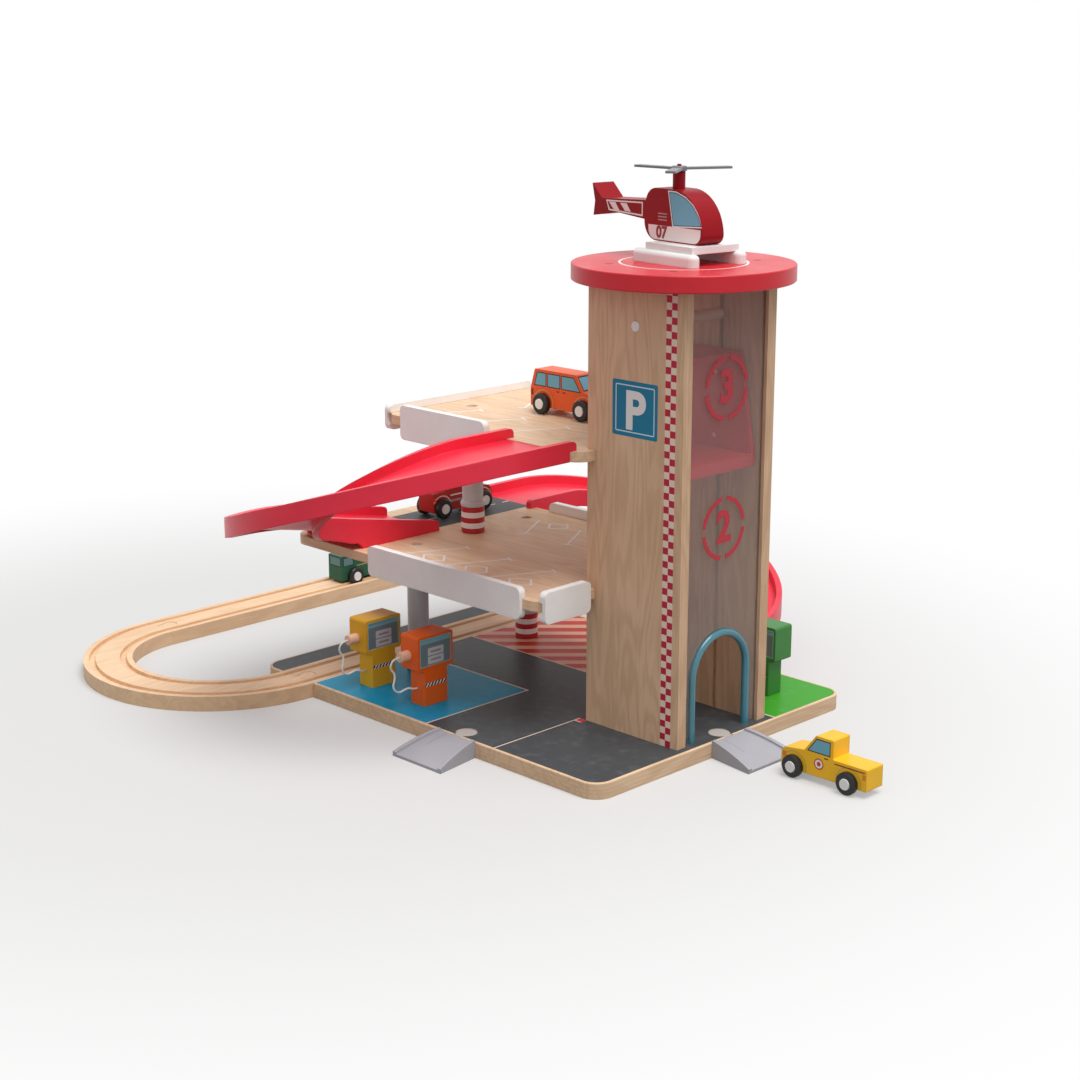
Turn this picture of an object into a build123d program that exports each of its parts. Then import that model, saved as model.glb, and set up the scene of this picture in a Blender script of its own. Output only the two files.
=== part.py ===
from build123d import *
from math import cos, degrees, hypot, pi, radians, sin, sqrt, tan
import os

# Wooden toy parking garage: a printed base board that is also one leg of a track loop, a tower with
# a cranked lift, two parking decks on posts, two moulded ramps, fuel pumps, a helicopter and four
# vehicles. Millimetres, +Z up. While modelling, X and Y start at the board's front left corner;
# save() moves the origin to the centre of the board's underside. The front faces -Y.

# ---- base board ----
BOARD_WIDTH = 281.0
BOARD_DEPTH = 375.0
BOARD_THICK = 12.0
BOARD_CORNER = 15.0
EDGE_BREAK = 0.6

# ---- wooden track: one leg is milled into the board, the rest closes the loop behind it ----
TRACK_WIDTH = 40.0
TRACK_Y = 330.0
LOOP_RADIUS = 95.75
GROOVE_GAUGE = 25.0
GROOVE_WIDTH = 5.5
GROOVE_DEPTH = 3.0
TRACK_PEG_RADIUS = 5.8
TRACK_PEG_NECK = 6.0
TRACK_PEG_REACH = 11.0
PEG_GAP = 0.35
PEG_SINK = 0.3

# ---- tower ----
TOWER_LEFT = 91.2
TOWER_FRONT = 7.1
TOWER_WIDTH = 99.4
TOWER_DEPTH = 90.7
TOWER_HEIGHT = 330.5
PANEL_THICK = 9.1
TENON_LENGTH = 50.0
TENON_DEPTH = 8.0
TENON_GAP = 0.1
GUIDE_SETBACK = 42.9
GUIDE_WIDTH = 4.0
GUIDE_DEPTH = 3.0
WINDOW_SETBACK = 2.9
WINDOW_THICK = 2.2
RABBET_DEPTH = 3.0
GLAZING_GAP = 0.1
DOOR_OUTER = 33.5
DOOR_HEIGHT = 80.0
BEAD_WIDTH = 6.0
BEAD_GRIP = 2.4

# ---- roof disc and the four dowels that hold it ----
ROOF_RADIUS = 80.0
ROOF_THICK = 12.0
DOWEL_RADIUS = 3.0
DOWEL_LENGTH = 30.0
DOWEL_SPREAD = 60.0
FIT_GAP = 0.05
DEEP_GAP = 0.5

# ---- parking decks ----
LEVEL_PITCH = 104.0
DECK_THICK = 7.5
DECK_RIGHT = 236.5
DECK_CORNER = 13.0
DECK_LAP = 7.8
LOWER_DECK_LEFT = 36.0
UPPER_DECK_LEFT = 74.0
UPPER_DECK_BACK = 303.0
SHAFT_GAP = 0.2
LAP_GAP = 0.1

# ---- posts ----
POST_LEFT_X = 84.0
POST_RIGHT_X = 206.0
POST_Y = 278.0
UPPER_POST_X = 143.0
UPPER_POST_Y = 276.0
FOOT_RADIUS = 9.5
FOOT_HEIGHT = 22.0
COLLAR_RADIUS = 10.0
COLLAR_HEIGHT = 5.0
COLUMN_RADIUS = 8.5
SPIGOT_RADIUS = 4.4
SPIGOT_LENGTH = 6.5
SPIGOT_SINK = 1.5

# ---- rails along the deck edges ----
RAIL_THICK = 6.0
RAIL_CORNER = 4.5
RAIL_GROOVE = 3.0
LOWER_RAIL_HEIGHT = 24.0
UPPER_RAIL_HEIGHT = 27.0
BACK_RAIL_HEIGHT = 20.0
SIDE_RAIL_FRONT = 109.4
LOWER_RAIL_BACK = 278.5
UPPER_LEFT_RAIL_FRONT = 186.0
UPPER_RAIL_BACK = 281.0
FRONT_RAIL_START = 37.0
FRONT_RAIL_END = 84.5
BACK_RAIL_START = 77.0

# ---- moulded ramps: straight, half turn, straight; the same part is used twice ----
RAMP_WIDTH = 70.0
RAMP_WALL = 5.0
RAMP_RADIUS = 99.0
RAMP_STRAIGHT = 43.0
RAMP_LANDING = 94.0
RAMP_TURN_Y = 233.0
RAMP_HOOK = 7.0
RAMP_WALL_RISE = 7.6
RAMP_FLOOR_THICK = 3.0
RAMP_FLOOR_STEP = 0.6
RAMP_TOE = 0.8
RAMP_NOSE_RADIUS = 4.0
LANDING_STEP = 5.0
LANDING_STEP_WIDTH = 8.0
TURN_STEP = 30
# Floor drop as a share of the level pitch, and skirt depth, at every 30 degrees of the half turn
TURN_DROPS = (0.0, 0.058, 0.207, 0.409, 0.606, 0.736, 0.8125)
TURN_SKIRTS = (7.0, 7.0, 7.0, 7.0, 8.0, 10.0, 12.5)

# ---- entry ramps: moulded wedges that hook into the board's edge ----
WEDGE_LENGTH = 39.5
WEDGE_WIDTH = 40.0
WEDGE_FLARE = 6.0
WEDGE_TOE = 2.0
WEDGE_CROWN = 1.4
KERB_WIDTH = 3.5
KERB_RISE = 1.5
WEDGE_PEG_RADIUS = 8.0
WEDGE_PEG_NECK = 8.0
WEDGE_PEG_REACH = 10.0
LEFT_WEDGE_Y = 141.9
FRONT_WEDGE_X = 141.7

# ---- fuel pumps ----
PUMP_X = 37.0
YELLOW_PUMP_FRONT = 266.0
ORANGE_PUMP_FRONT = 205.0
GREEN_PUMP_FRONT = 229.5
GREEN_PUMP_Y = 47.0
PUMP_BODY_WIDTH = 24.0
PUMP_BODY_DEPTH = 16.0
PUMP_BODY_HEIGHT = 28.3
PUMP_HEAD_WIDTH = 35.3
PUMP_HEAD_DEPTH = 20.0
PUMP_HEAD_HEIGHT = 27.5
PUMP_ROUND = 2.0
SCREEN_WIDTH = 29.0
SCREEN_HEIGHT = 21.0
SCREEN_SINK = 0.5
NOZZLE_RADIUS = 4.2
NOZZLE_REACH = 9.0
NOZZLE_SETBACK = 12.0
NOZZLE_HEIGHT = 40.0
NOZZLE_PIN_RADIUS = 2.5
NOZZLE_PIN_LENGTH = 6.0
HOSE_DIAMETER = 1.6
CORD_SIDES = 8
# Hose route from the nozzle tip to the pump body: x from the pump's middle, y from its front,
# z from the board's top
HOSE_ROUTE = (
    (-26.65, 12.0, 40.0),
    (-31.1, 12.0, 40.0),
    (-34.3, 12.4, 37.0),
    (-34.5, 13.0, 32.5),
    (-30.7, 12.6, 28.0),
    (-31.2, 12.2, 23.2),
    (-33.2, 12.0, 18.7),
    (-31.6, 11.5, 14.4),
    (-27.5, 10.8, 12.6),
    (-23.3, 10.0, 14.3),
    (-19.6, 9.2, 15.0),
    (-15.8, 8.4, 13.2),
    (-12.0, 8.4, 13.2),
)

# ---- lift ----
LIFT_SIDE_GAP = 2.0
LIFT_FRONT_GAP = 0.4
LIFT_BACK_GAP = 1.8
LIFT_REST_DROP = 4.0
LIFT_HEADROOM = 24.0
LIFT_FLOOR = 9.0
LIFT_WALL = 4.0
LIFT_ROOF = 4.5
LIFT_FRONT_SLOPE = 13.1
LIFT_ROUND = 2.5
GUIDE_PEG_RADIUS = 1.8
GUIDE_PEG_END_GAP = 0.5
GUIDE_PEG_INSET = 18.0
ROLLER_RADIUS = 4.5
ROLLER_SETBACK = 45.2
ROLLER_DROP = 28.5
ROLLER_END_GAP = 0.5
JOURNAL_RADIUS = 3.75
JOURNAL_PROUD = 0.5
CRANK_REACH = 18.0
CRANK_THICK = 8.0
CRANK_HUB_RADIUS = 7.0
CRANK_END_RADIUS = 5.5
KNOB_RADIUS = 6.0
KNOB_LENGTH = 17.0
KNOB_PIN_RADIUS = 2.5
CORD_DIAMETER = 1.5
CORD_SEAT_GAP = 0.05
WINDING_TURNS = 6
WINDING_PITCH = 2.0
WINDING_END_X = 136.0
CORD_BOSS_RADIUS = 3.5
CORD_BOSS_HEIGHT = 3.0

# ---- helicopter on the roof: along its own nose direction, from a point on the roof ----
HELI_X = 145.0
HELI_Y = 56.0
HELI_HEADING = -97.7
HELI_WIDTH = 20.0
HELI_BELLY = 13.6
HELI_TOP = 50.6
HELI_BOOM_ROOT = -31.5
SKID_LENGTH = 66.0
SKID_REAR = -27.0
SKID_WIDTH = 9.5
SKID_HEIGHT = 9.0
SKID_SPREAD = 44.0
SKID_ROUND = 3.5
BRIDGE_REAR = -16.0
BRIDGE_FRONT = 33.0
BRIDGE_THICK = 5.0
MAST_ALONG = -6.5
MAST_RADIUS = 4.5
MAST_HEIGHT = 12.0
MAST_SPIGOT = 8.0
ROTOR_PIN_RADIUS = 1.5
ROTOR_PIN_LENGTH = 5.0
ROTOR_HUB_RADIUS = 5.5
ROTOR_HUB_HEIGHT = 3.4
ROTOR_LIFT = 0.3
ROTOR_REACH = 39.0
BLADE_WIDTH = 7.5
BLADE_THICK = 1.6
BLADE_FIRST_ANGLE = 92.0

# ---- vehicles ----
WHEEL_RADIUS = 8.3
WHEEL_WIDTH = 4.0
WHEEL_SPAN = 28.0
WHEEL_CHAMFER = 0.8
HUB_RADIUS = 4.0
HUB_PROUD = 0.8
AXLE_RADIUS = 1.5
AXLE_GAP = 0.1
WHEEL_FLOAT = 0.25
CAR_WIDTH = 19.0
CAR_SILL = 5.5
CAR_ROUND = 2.0

# ---- sizes that follow from the ones above ----
TOWER_RIGHT = TOWER_LEFT + TOWER_WIDTH
TOWER_BACK = TOWER_FRONT + TOWER_DEPTH
TOWER_MID = TOWER_LEFT + TOWER_WIDTH / 2
SHAFT_LEFT = TOWER_LEFT + PANEL_THICK
SHAFT_RIGHT = TOWER_RIGHT - PANEL_THICK
ROOF_BASE = BOARD_THICK + TOWER_HEIGHT
ROOF_TOP = ROOF_BASE + ROOF_THICK
GUIDE_Y = TOWER_FRONT + GUIDE_SETBACK
WINDOW_FRONT = TOWER_FRONT + WINDOW_SETBACK
WINDOW_BACK = WINDOW_FRONT + WINDOW_THICK
DECK_FRONT = TOWER_BACK - DECK_LAP
LOWER_TOP = BOARD_THICK + LEVEL_PITCH
UPPER_TOP = LOWER_TOP + LEVEL_PITCH
FAR_TRACK_Y = TRACK_Y + 2 * LOOP_RADIUS
ROLLER_Y = TOWER_FRONT + ROLLER_SETBACK
ROLLER_Z = ROOF_BASE - ROLLER_DROP
WINDING_RADIUS = ROLLER_RADIUS + CORD_SEAT_GAP + CORD_DIAMETER / 2
LIFT_LEFT = SHAFT_LEFT + LIFT_SIDE_GAP
LIFT_RIGHT = SHAFT_RIGHT - LIFT_SIDE_GAP
LIFT_FRONT = (WINDOW_FRONT + WINDOW_BACK + BEAD_WIDTH) / 2 + LIFT_FRONT_GAP
LIFT_BACK = TOWER_BACK - LIFT_BACK_GAP
LIFT_FLOOR_Z = UPPER_TOP - LIFT_REST_DROP - LIFT_FLOOR
LIFT_TOP = ROLLER_Z - LIFT_HEADROOM
LIFT_ROOF_FRONT = LIFT_FRONT + LIFT_FRONT_SLOPE
CORD_Y = ROLLER_Y - WINDING_RADIUS


# ---- helpers ----
def save(shape, name):
    """Write one piece, with the origin moved to the centre of the board's underside."""
    export_step(Pos(-BOARD_WIDTH / 2, -BOARD_DEPTH / 2, 0) * shape, f"parts/{name}.step")


def block(x, y, z):
    """A box between low and high values along each axis."""
    size = (x[1] - x[0], y[1] - y[0], z[1] - z[0])
    return Pos(x[0], y[0], z[0]) * Box(*size, align=(Align.MIN, Align.MIN, Align.MIN))


def plate(x, y, z, corner):
    """A flat board with rounded corners in plan."""
    outline = Pos((x[0] + x[1]) / 2, (y[0] + y[1]) / 2) * RectangleRounded(x[1] - x[0], y[1] - y[0], corner)
    return extrude(Pos(0, 0, z[0]) * outline, z[1] - z[0])


def rod(radius, start, length, direction=(0, 0, 1)):
    """A round bar from a start point along a direction."""
    bar = Cylinder(radius, length, align=(Align.CENTER, Align.CENTER, Align.MIN))
    return Plane(origin=start, z_dir=direction) * bar


def across_y(points, y_low, thick):
    """A flat piece with an XZ outline, standing from y_low over its thickness."""
    outline = make_face(Polyline([(x, 0, z) for x, z in points], close=True))
    return Pos(0, y_low, 0) * extrude(outline, thick, dir=(0, 1, 0))


def across_x(points, x_low, thick):
    """A flat piece with a YZ outline, standing from x_low over its thickness."""
    outline = make_face(Polyline([(0, y, z) for y, z in points], close=True))
    return Pos(x_low, 0, 0) * extrude(outline, thick, dir=(1, 0, 0))


def peg(radius, neck, reach, thick, gap=0.0):
    """A round peg on a neck, from an end face at x = 0 towards +X."""
    outline = Pos(reach, 0) * Circle(radius + gap) + Pos(reach / 2, 0) * Rectangle(reach, neck + 2 * gap)
    return extrude(outline, thick)


def at(x, y, z, turn=0.0):
    """Place a piece at a point, turned about the vertical."""
    return Location((x, y, z), (0, 0, turn))


# ---- base board and track ----
def track_socket():
    """The cut that takes a track peg, through the full thickness."""
    return peg(TRACK_PEG_RADIUS, TRACK_PEG_NECK, TRACK_PEG_REACH, BOARD_THICK, PEG_GAP)


def track_peg():
    """A track peg, a little thinner than the track so that it stays below its top."""
    return peg(TRACK_PEG_RADIUS, TRACK_PEG_NECK, TRACK_PEG_REACH, BOARD_THICK - PEG_SINK)


def straight_grooves(length, y):
    """The two wheel grooves of a straight leg along X."""
    low = BOARD_THICK - GROOVE_DEPTH
    return [
        block((0, length), (y + side - GROOVE_WIDTH / 2, y + side + GROOVE_WIDTH / 2), (low, BOARD_THICK))
        for side in (-GROOVE_GAUGE / 2, GROOVE_GAUGE / 2)
    ]


def base_board():
    board = plate((0, BOARD_WIDTH), (0, BOARD_DEPTH), (0, BOARD_THICK), BOARD_CORNER)
    board = chamfer(board.faces().sort_by(Axis.Z)[-1].edges(), EDGE_BREAK)
    board -= straight_grooves(BOARD_WIDTH, TRACK_Y)
    board -= at(0, TRACK_Y, 0) * track_socket()
    board -= at(BOARD_WIDTH, TRACK_Y, 0, 180) * track_socket()
    wedge_socket = peg(WEDGE_PEG_RADIUS, WEDGE_PEG_NECK, WEDGE_PEG_REACH, BOARD_THICK, PEG_GAP)
    board -= at(0, LEFT_WEDGE_Y, 0) * wedge_socket
    board -= at(FRONT_WEDGE_X, 0, 0, 90) * wedge_socket
    for left in (TOWER_LEFT, SHAFT_RIGHT):
        board -= tenon(left, TENON_GAP)
    for x in (POST_LEFT_X, POST_RIGHT_X):
        board -= rod(SPIGOT_RADIUS + FIT_GAP, (x, POST_Y, BOARD_THICK - SPIGOT_LENGTH - DEEP_GAP),
                     SPIGOT_LENGTH + DEEP_GAP)
    return board


def track_section():
    """The grooved cross-section of the track, standing at the near end of the left-hand curve."""
    section = Pos(TRACK_Y, BOARD_THICK / 2) * Rectangle(TRACK_WIDTH, BOARD_THICK)
    for side in (-GROOVE_GAUGE / 2, GROOVE_GAUGE / 2):
        section -= Pos(TRACK_Y + side, BOARD_THICK - GROOVE_DEPTH / 2) * Rectangle(GROOVE_WIDTH, GROOVE_DEPTH)
    return Plane.YZ * section


def track_curve():
    """A half circle of track with a peg at both ends, on the left of the board."""
    axis = Axis((0, TRACK_Y + LOOP_RADIUS, 0), (0, 0, -1))
    curve = revolve(track_section(), axis, 180)
    for y in (TRACK_Y, FAR_TRACK_Y):
        curve += at(0, y, 0) * track_peg()
    return curve


def track_straight():
    """The far leg of the loop, with a socket at both ends."""
    low, high = FAR_TRACK_Y - TRACK_WIDTH / 2, FAR_TRACK_Y + TRACK_WIDTH / 2
    leg = block((0, BOARD_WIDTH), (low, high), (0, BOARD_THICK))
    leg -= straight_grooves(BOARD_WIDTH, FAR_TRACK_Y)
    leg -= at(0, FAR_TRACK_Y, 0) * track_socket()
    leg -= at(BOARD_WIDTH, FAR_TRACK_Y, 0, 180) * track_socket()
    return leg


# ---- tower ----
def tenon(left, gap=0.0):
    """The tongue under a side panel, or with a gap the mortise that takes it."""
    middle = TOWER_FRONT + TOWER_DEPTH / 2
    reach = TENON_LENGTH / 2 + gap
    low = BOARD_THICK - TENON_DEPTH - (DEEP_GAP if gap else 0.0)
    return block((left - gap, left + PANEL_THICK + gap), (middle - reach, middle + reach), (low, BOARD_THICK))


def dowel_spots():
    """Plan positions of the roof dowels, two in each side panel."""
    middle = TOWER_FRONT + TOWER_DEPTH / 2
    return [
        (x, middle + side)
        for x in (TOWER_LEFT + PANEL_THICK / 2, TOWER_RIGHT - PANEL_THICK / 2)
        for side in (-DOWEL_SPREAD / 2, DOWEL_SPREAD / 2)
    ]


def tower_panel():
    """The left side panel: lift guide groove, window rabbet, deck slots, roller bore, dowel holes."""
    panel = block((TOWER_LEFT, SHAFT_LEFT), (TOWER_FRONT, TOWER_BACK), (BOARD_THICK, ROOF_BASE))
    panel += tenon(TOWER_LEFT)
    height = (BOARD_THICK, ROOF_BASE)
    panel -= block((SHAFT_LEFT - GUIDE_DEPTH, SHAFT_LEFT),
                   (GUIDE_Y - GUIDE_WIDTH / 2, GUIDE_Y + GUIDE_WIDTH / 2), height)
    panel -= block((SHAFT_LEFT - RABBET_DEPTH, SHAFT_LEFT),
                   (WINDOW_FRONT - GLAZING_GAP, WINDOW_BACK + GLAZING_GAP), height)
    for top in (LOWER_TOP, UPPER_TOP):
        panel -= block((TOWER_LEFT, SHAFT_LEFT), (DECK_FRONT - LAP_GAP, TOWER_BACK),
                       (top - DECK_THICK, top + LAP_GAP))
    panel -= rod(JOURNAL_RADIUS + FIT_GAP, (TOWER_LEFT, ROLLER_Y, ROLLER_Z), PANEL_THICK, (1, 0, 0))
    depth = DOWEL_LENGTH - ROOF_THICK + DEEP_GAP
    for x, y in dowel_spots()[:2]:
        panel -= rod(DOWEL_RADIUS + FIT_GAP, (x, y, ROOF_BASE - depth), depth)
    return panel


def doorway(radius, y_low, thick):
    """The arched doorway as a slab: straight sides up to a half-round top."""
    spring = DOOR_HEIGHT - DOOR_OUTER
    outline = Pos(0, spring / 2) * Rectangle(2 * radius, spring) + Pos(0, spring) * Circle(radius)
    outline = Plane(origin=(TOWER_MID, y_low, BOARD_THICK), x_dir=(1, 0, 0), z_dir=(0, -1, 0)) * outline
    return extrude(outline, thick, dir=(0, 1, 0))


def tower_window():
    """The clear front pane in its rabbets, with the doorway cut out of it."""
    reach = RABBET_DEPTH - GLAZING_GAP
    pane = block((SHAFT_LEFT - reach, SHAFT_RIGHT + reach), (WINDOW_FRONT, WINDOW_BACK),
                 (BOARD_THICK, ROOF_BASE))
    return pane - doorway(DOOR_OUTER - BEAD_GRIP, WINDOW_FRONT, WINDOW_THICK)


def arch_trim():
    """The round bead that clips over the doorway's edge."""
    radius = DOOR_OUTER - BEAD_WIDTH / 2
    spring = DOOR_HEIGHT - DOOR_OUTER
    middle = (WINDOW_FRONT + WINDOW_BACK) / 2
    frame = Plane(origin=(TOWER_MID, middle, BOARD_THICK), x_dir=(1, 0, 0), z_dir=(0, -1, 0))
    path = Wire([
        Line((-radius, 0), (-radius, spring)).edge(),
        ThreePointArc((-radius, spring), (0, spring + radius), (radius, spring)).edge(),
        Line((radius, spring), (radius, 0)).edge(),
    ])
    start = Plane(origin=(TOWER_MID - radius, middle, BOARD_THICK), z_dir=(0, 0, 1))
    bead = sweep(start * Circle(BEAD_WIDTH / 2), frame * path)
    slot_low = WINDOW_FRONT - GLAZING_GAP
    slot_thick = WINDOW_THICK + 2 * GLAZING_GAP
    slot = block((TOWER_LEFT, TOWER_RIGHT), (slot_low, slot_low + slot_thick),
                 (BOARD_THICK, BOARD_THICK + DOOR_HEIGHT))
    slot -= doorway(DOOR_OUTER - BEAD_GRIP - GLAZING_GAP, slot_low, slot_thick)
    return bead - slot


def roof_disc():
    """The round landing roof with its four dowel holes."""
    disc = rod(ROOF_RADIUS, (TOWER_MID, TOWER_FRONT + TOWER_DEPTH / 2, ROOF_BASE), ROOF_THICK)
    disc = chamfer(disc.edges(), EDGE_BREAK)
    for x, y in dowel_spots():
        disc -= rod(DOWEL_RADIUS + FIT_GAP, (x, y, ROOF_BASE), ROOF_THICK)
    return disc


def roof_dowels():
    """Four dowels, flush with the roof, down into the side panels."""
    return Compound(children=[
        rod(DOWEL_RADIUS, (x, y, ROOF_TOP - DOWEL_LENGTH), DOWEL_LENGTH) for x, y in dowel_spots()
    ])


# ---- decks, posts and rails ----
def deck(left, back, top):
    """A parking deck whose front edge laps into both side panels and stays clear of the shaft."""
    sheet = plate((left, DECK_RIGHT), (DECK_FRONT, back), (top - DECK_THICK, top), DECK_CORNER)
    return sheet - block((SHAFT_LEFT, SHAFT_RIGHT), (DECK_FRONT, TOWER_BACK + SHAFT_GAP),
                         (top - DECK_THICK, top))


def post_hole(x, y, low, high):
    """The hole for a post's spigot."""
    return rod(SPIGOT_RADIUS + FIT_GAP, (x, y, low), high - low)


def deck_lower():
    sheet = deck(LOWER_DECK_LEFT, BOARD_DEPTH, LOWER_TOP)
    for x in (POST_LEFT_X, POST_RIGHT_X):
        sheet -= post_hole(x, POST_Y, LOWER_TOP - DECK_THICK, LOWER_TOP)
    return sheet - post_hole(UPPER_POST_X, UPPER_POST_Y, LOWER_TOP - DECK_THICK, LOWER_TOP)


def deck_upper():
    sheet = deck(UPPER_DECK_LEFT, UPPER_DECK_BACK, UPPER_TOP)
    return sheet - post_hole(UPPER_POST_X, UPPER_POST_Y, UPPER_TOP - DECK_THICK, UPPER_TOP)


def post_foot(x, y, floor):
    """The turned foot of a post: spigot below, socket on top."""
    foot = rod(FOOT_RADIUS, (x, y, floor), FOOT_HEIGHT)
    foot = chamfer(foot.edges(), EDGE_BREAK)
    foot += rod(SPIGOT_RADIUS, (x, y, floor - SPIGOT_LENGTH), SPIGOT_LENGTH)
    return foot - post_hole(x, y, floor + FOOT_HEIGHT - SPIGOT_LENGTH - DEEP_GAP, floor + FOOT_HEIGHT)


def post_column(x, y, floor):
    """The moulded column: a collar that bulges over the foot, a shaft, and a spigot at each end."""
    base = FOOT_HEIGHT
    top = LEVEL_PITCH - DECK_THICK
    tip = LEVEL_PITCH - SPIGOT_SINK
    collar = base + COLLAR_HEIGHT
    profile = Polyline(
        (FOOT_RADIUS, base), (SPIGOT_RADIUS, base), (SPIGOT_RADIUS, base - SPIGOT_LENGTH),
        (0, base - SPIGOT_LENGTH), (0, tip), (SPIGOT_RADIUS, tip), (SPIGOT_RADIUS, top),
        (COLUMN_RADIUS, top), (COLUMN_RADIUS, collar),
    )
    bulge = ThreePointArc((COLUMN_RADIUS, collar), (COLLAR_RADIUS, base + COLLAR_HEIGHT / 2),
                          (FOOT_RADIUS, base))
    column = revolve(Plane.XZ * make_face([profile.edges(), bulge.edge()]), Axis.Z)
    return Pos(x, y, floor) * column


def rail(length, height):
    """A side rail along X: outer face at y = 0, grooved on its inner face over the deck's edge."""
    outline = Pos(length / 2, 0) * RectangleRounded(length, height, RAIL_CORNER)
    board = extrude(Plane.XZ * outline, RAIL_THICK, dir=(0, 1, 0))
    half = DECK_THICK / 2 + LAP_GAP
    return board - block((0, length), (RAIL_THICK - RAIL_GROOVE, RAIL_THICK), (-half, half))


def left_rail(edge, front, back, top, height):
    """A rail on a deck's left edge."""
    return at(edge - RAIL_THICK + RAIL_GROOVE, back, top - DECK_THICK / 2, -90) * rail(back - front, height)


def right_rail(front, back, top, height):
    """A rail on a deck's right edge."""
    outer = DECK_RIGHT + RAIL_THICK - RAIL_GROOVE
    return at(outer, front, top - DECK_THICK / 2, 90) * rail(back - front, height)


def front_rail(start, end, top, height):
    """A rail on a deck's front edge."""
    return at(start, DECK_FRONT - RAIL_THICK + RAIL_GROOVE, top - DECK_THICK / 2) * rail(end - start, height)


def back_rail(start, end, back, top, height):
    """A rail on a deck's back edge."""
    return at(end, back + RAIL_THICK - RAIL_GROOVE, top - DECK_THICK / 2, 180) * rail(end - start, height)


# ---- moulded ramps ----
def channel_section(floor, skirt):
    """The ramp's H-shaped section: two walls with the floor between them."""
    outer, inner = RAMP_WIDTH / 2, RAMP_WIDTH / 2 - RAMP_WALL
    top, low, under = floor + RAMP_WALL_RISE, floor - skirt, floor - RAMP_FLOOR_THICK
    half = [(outer, low), (outer, top), (inner, top), (inner, floor)]
    other = [(-w, z) for w, z in reversed(half)]
    hollow = [(-inner, low), (-inner, under), (inner, under), (inner, low)]
    return make_face(Polyline(half + other + hollow, close=True))


def turn_section(turn, floor, skirt):
    """The section at an angle of the half turn."""
    radial = (-sin(radians(turn)), -cos(radians(turn)), 0)
    travel = (-cos(radians(turn)), sin(radians(turn)), 0)
    spot = (radial[0] * RAMP_RADIUS, radial[1] * RAMP_RADIUS, 0)
    return Plane(origin=spot, x_dir=radial, z_dir=travel) * channel_section(floor, skirt)


def ramp_landing(start_floor, start_skirt):
    """The last straight: floor and walls run down to the level below and end in rounded noses."""
    ground = -LEVEL_PITCH
    end_floor = ground + RAMP_TOE
    slope = (end_floor - start_floor) / RAMP_LANDING
    under = (ground - start_floor + RAMP_FLOOR_THICK) / slope
    middle = RAMP_RADIUS - RAMP_WIDTH / 2 + RAMP_WALL
    floor = across_y(
        [(0, start_floor), (RAMP_LANDING, end_floor), (RAMP_LANDING, ground), (under, ground),
         (0, start_floor - RAMP_FLOOR_THICK)],
        middle, RAMP_WIDTH - 2 * RAMP_WALL)
    nose = RAMP_LANDING - RAMP_NOSE_RADIUS
    nose_top = end_floor + RAMP_WALL_RISE - slope * RAMP_NOSE_RADIUS
    step_end = LANDING_STEP + LANDING_STEP_WIDTH
    step_top = start_floor - start_skirt + slope * LANDING_STEP
    hollow = (LANDING_STEP + 0.7 * LANDING_STEP_WIDTH, step_top + 0.3 * (ground - step_top))
    rounding = RAMP_NOSE_RADIUS * (1 - cos(radians(45)))
    edges = [
        Line((step_end, ground), (RAMP_LANDING, ground)),
        Line((RAMP_LANDING, ground), (RAMP_LANDING, nose_top - RAMP_NOSE_RADIUS)),
        ThreePointArc((RAMP_LANDING, nose_top - RAMP_NOSE_RADIUS),
                      (RAMP_LANDING - rounding, nose_top - rounding), (nose, nose_top)),
        Line((nose, nose_top), (0, start_floor + RAMP_WALL_RISE)),
        Line((0, start_floor + RAMP_WALL_RISE), (0, start_floor - start_skirt)),
        Line((0, start_floor - start_skirt), (LANDING_STEP, step_top)),
        ThreePointArc((LANDING_STEP, step_top), hollow, (step_end, ground)),
    ]
    side = extrude(Plane.XZ * make_face([edge.edge() for edge in edges]), RAMP_WALL, dir=(0, 1, 0))
    inner = RAMP_RADIUS - RAMP_WIDTH / 2
    return floor + Pos(0, inner, 0) * side + Pos(0, inner + RAMP_WIDTH - RAMP_WALL, 0) * side


def ramp_hook(y_low):
    """The end of a wall that rests on top of the deck, with a rounded upper corner."""
    top = RAMP_WALL_RISE - RAMP_FLOOR_STEP
    hook = block((RAMP_STRAIGHT, RAMP_STRAIGHT + RAMP_HOOK), (y_low, y_low + RAMP_WALL), (0, top))
    corner = hook.edges().filter_by(Axis.Y).group_by(Axis.Z)[-1].sort_by(Axis.X)[-1]
    return fillet(corner, RAMP_NOSE_RADIUS)


def ramp():
    """One moulded ramp around its turn centre; z = 0 is the top of the level that it leaves."""
    floors = [-RAMP_FLOOR_STEP - share * LEVEL_PITCH for share in TURN_DROPS]
    sections = [
        turn_section(index * TURN_STEP, floor, skirt)
        for index, (floor, skirt) in enumerate(zip(floors, TURN_SKIRTS))
    ]
    turn = loft(sections)
    straight = extrude(sections[0], RAMP_STRAIGHT, dir=(1, 0, 0))
    hooks = [ramp_hook(-RAMP_RADIUS - RAMP_WIDTH / 2), ramp_hook(-RAMP_RADIUS + RAMP_WIDTH / 2 - RAMP_WALL)]
    return turn + straight + hooks + ramp_landing(floors[-1], TURN_SKIRTS[-1])


# ---- entry ramps ----
def wedge_plan(inset):
    """The flared outline of an entry ramp in plan, seen from its hooked end at x = 0."""
    near = WEDGE_WIDTH / 2 - inset
    far = near + WEDGE_FLARE
    outline = Polyline((0, -near), (0, near), (-WEDGE_LENGTH, far), (-WEDGE_LENGTH, -far), close=True)
    return extrude(make_face(outline), 2 * BOARD_THICK)


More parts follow.
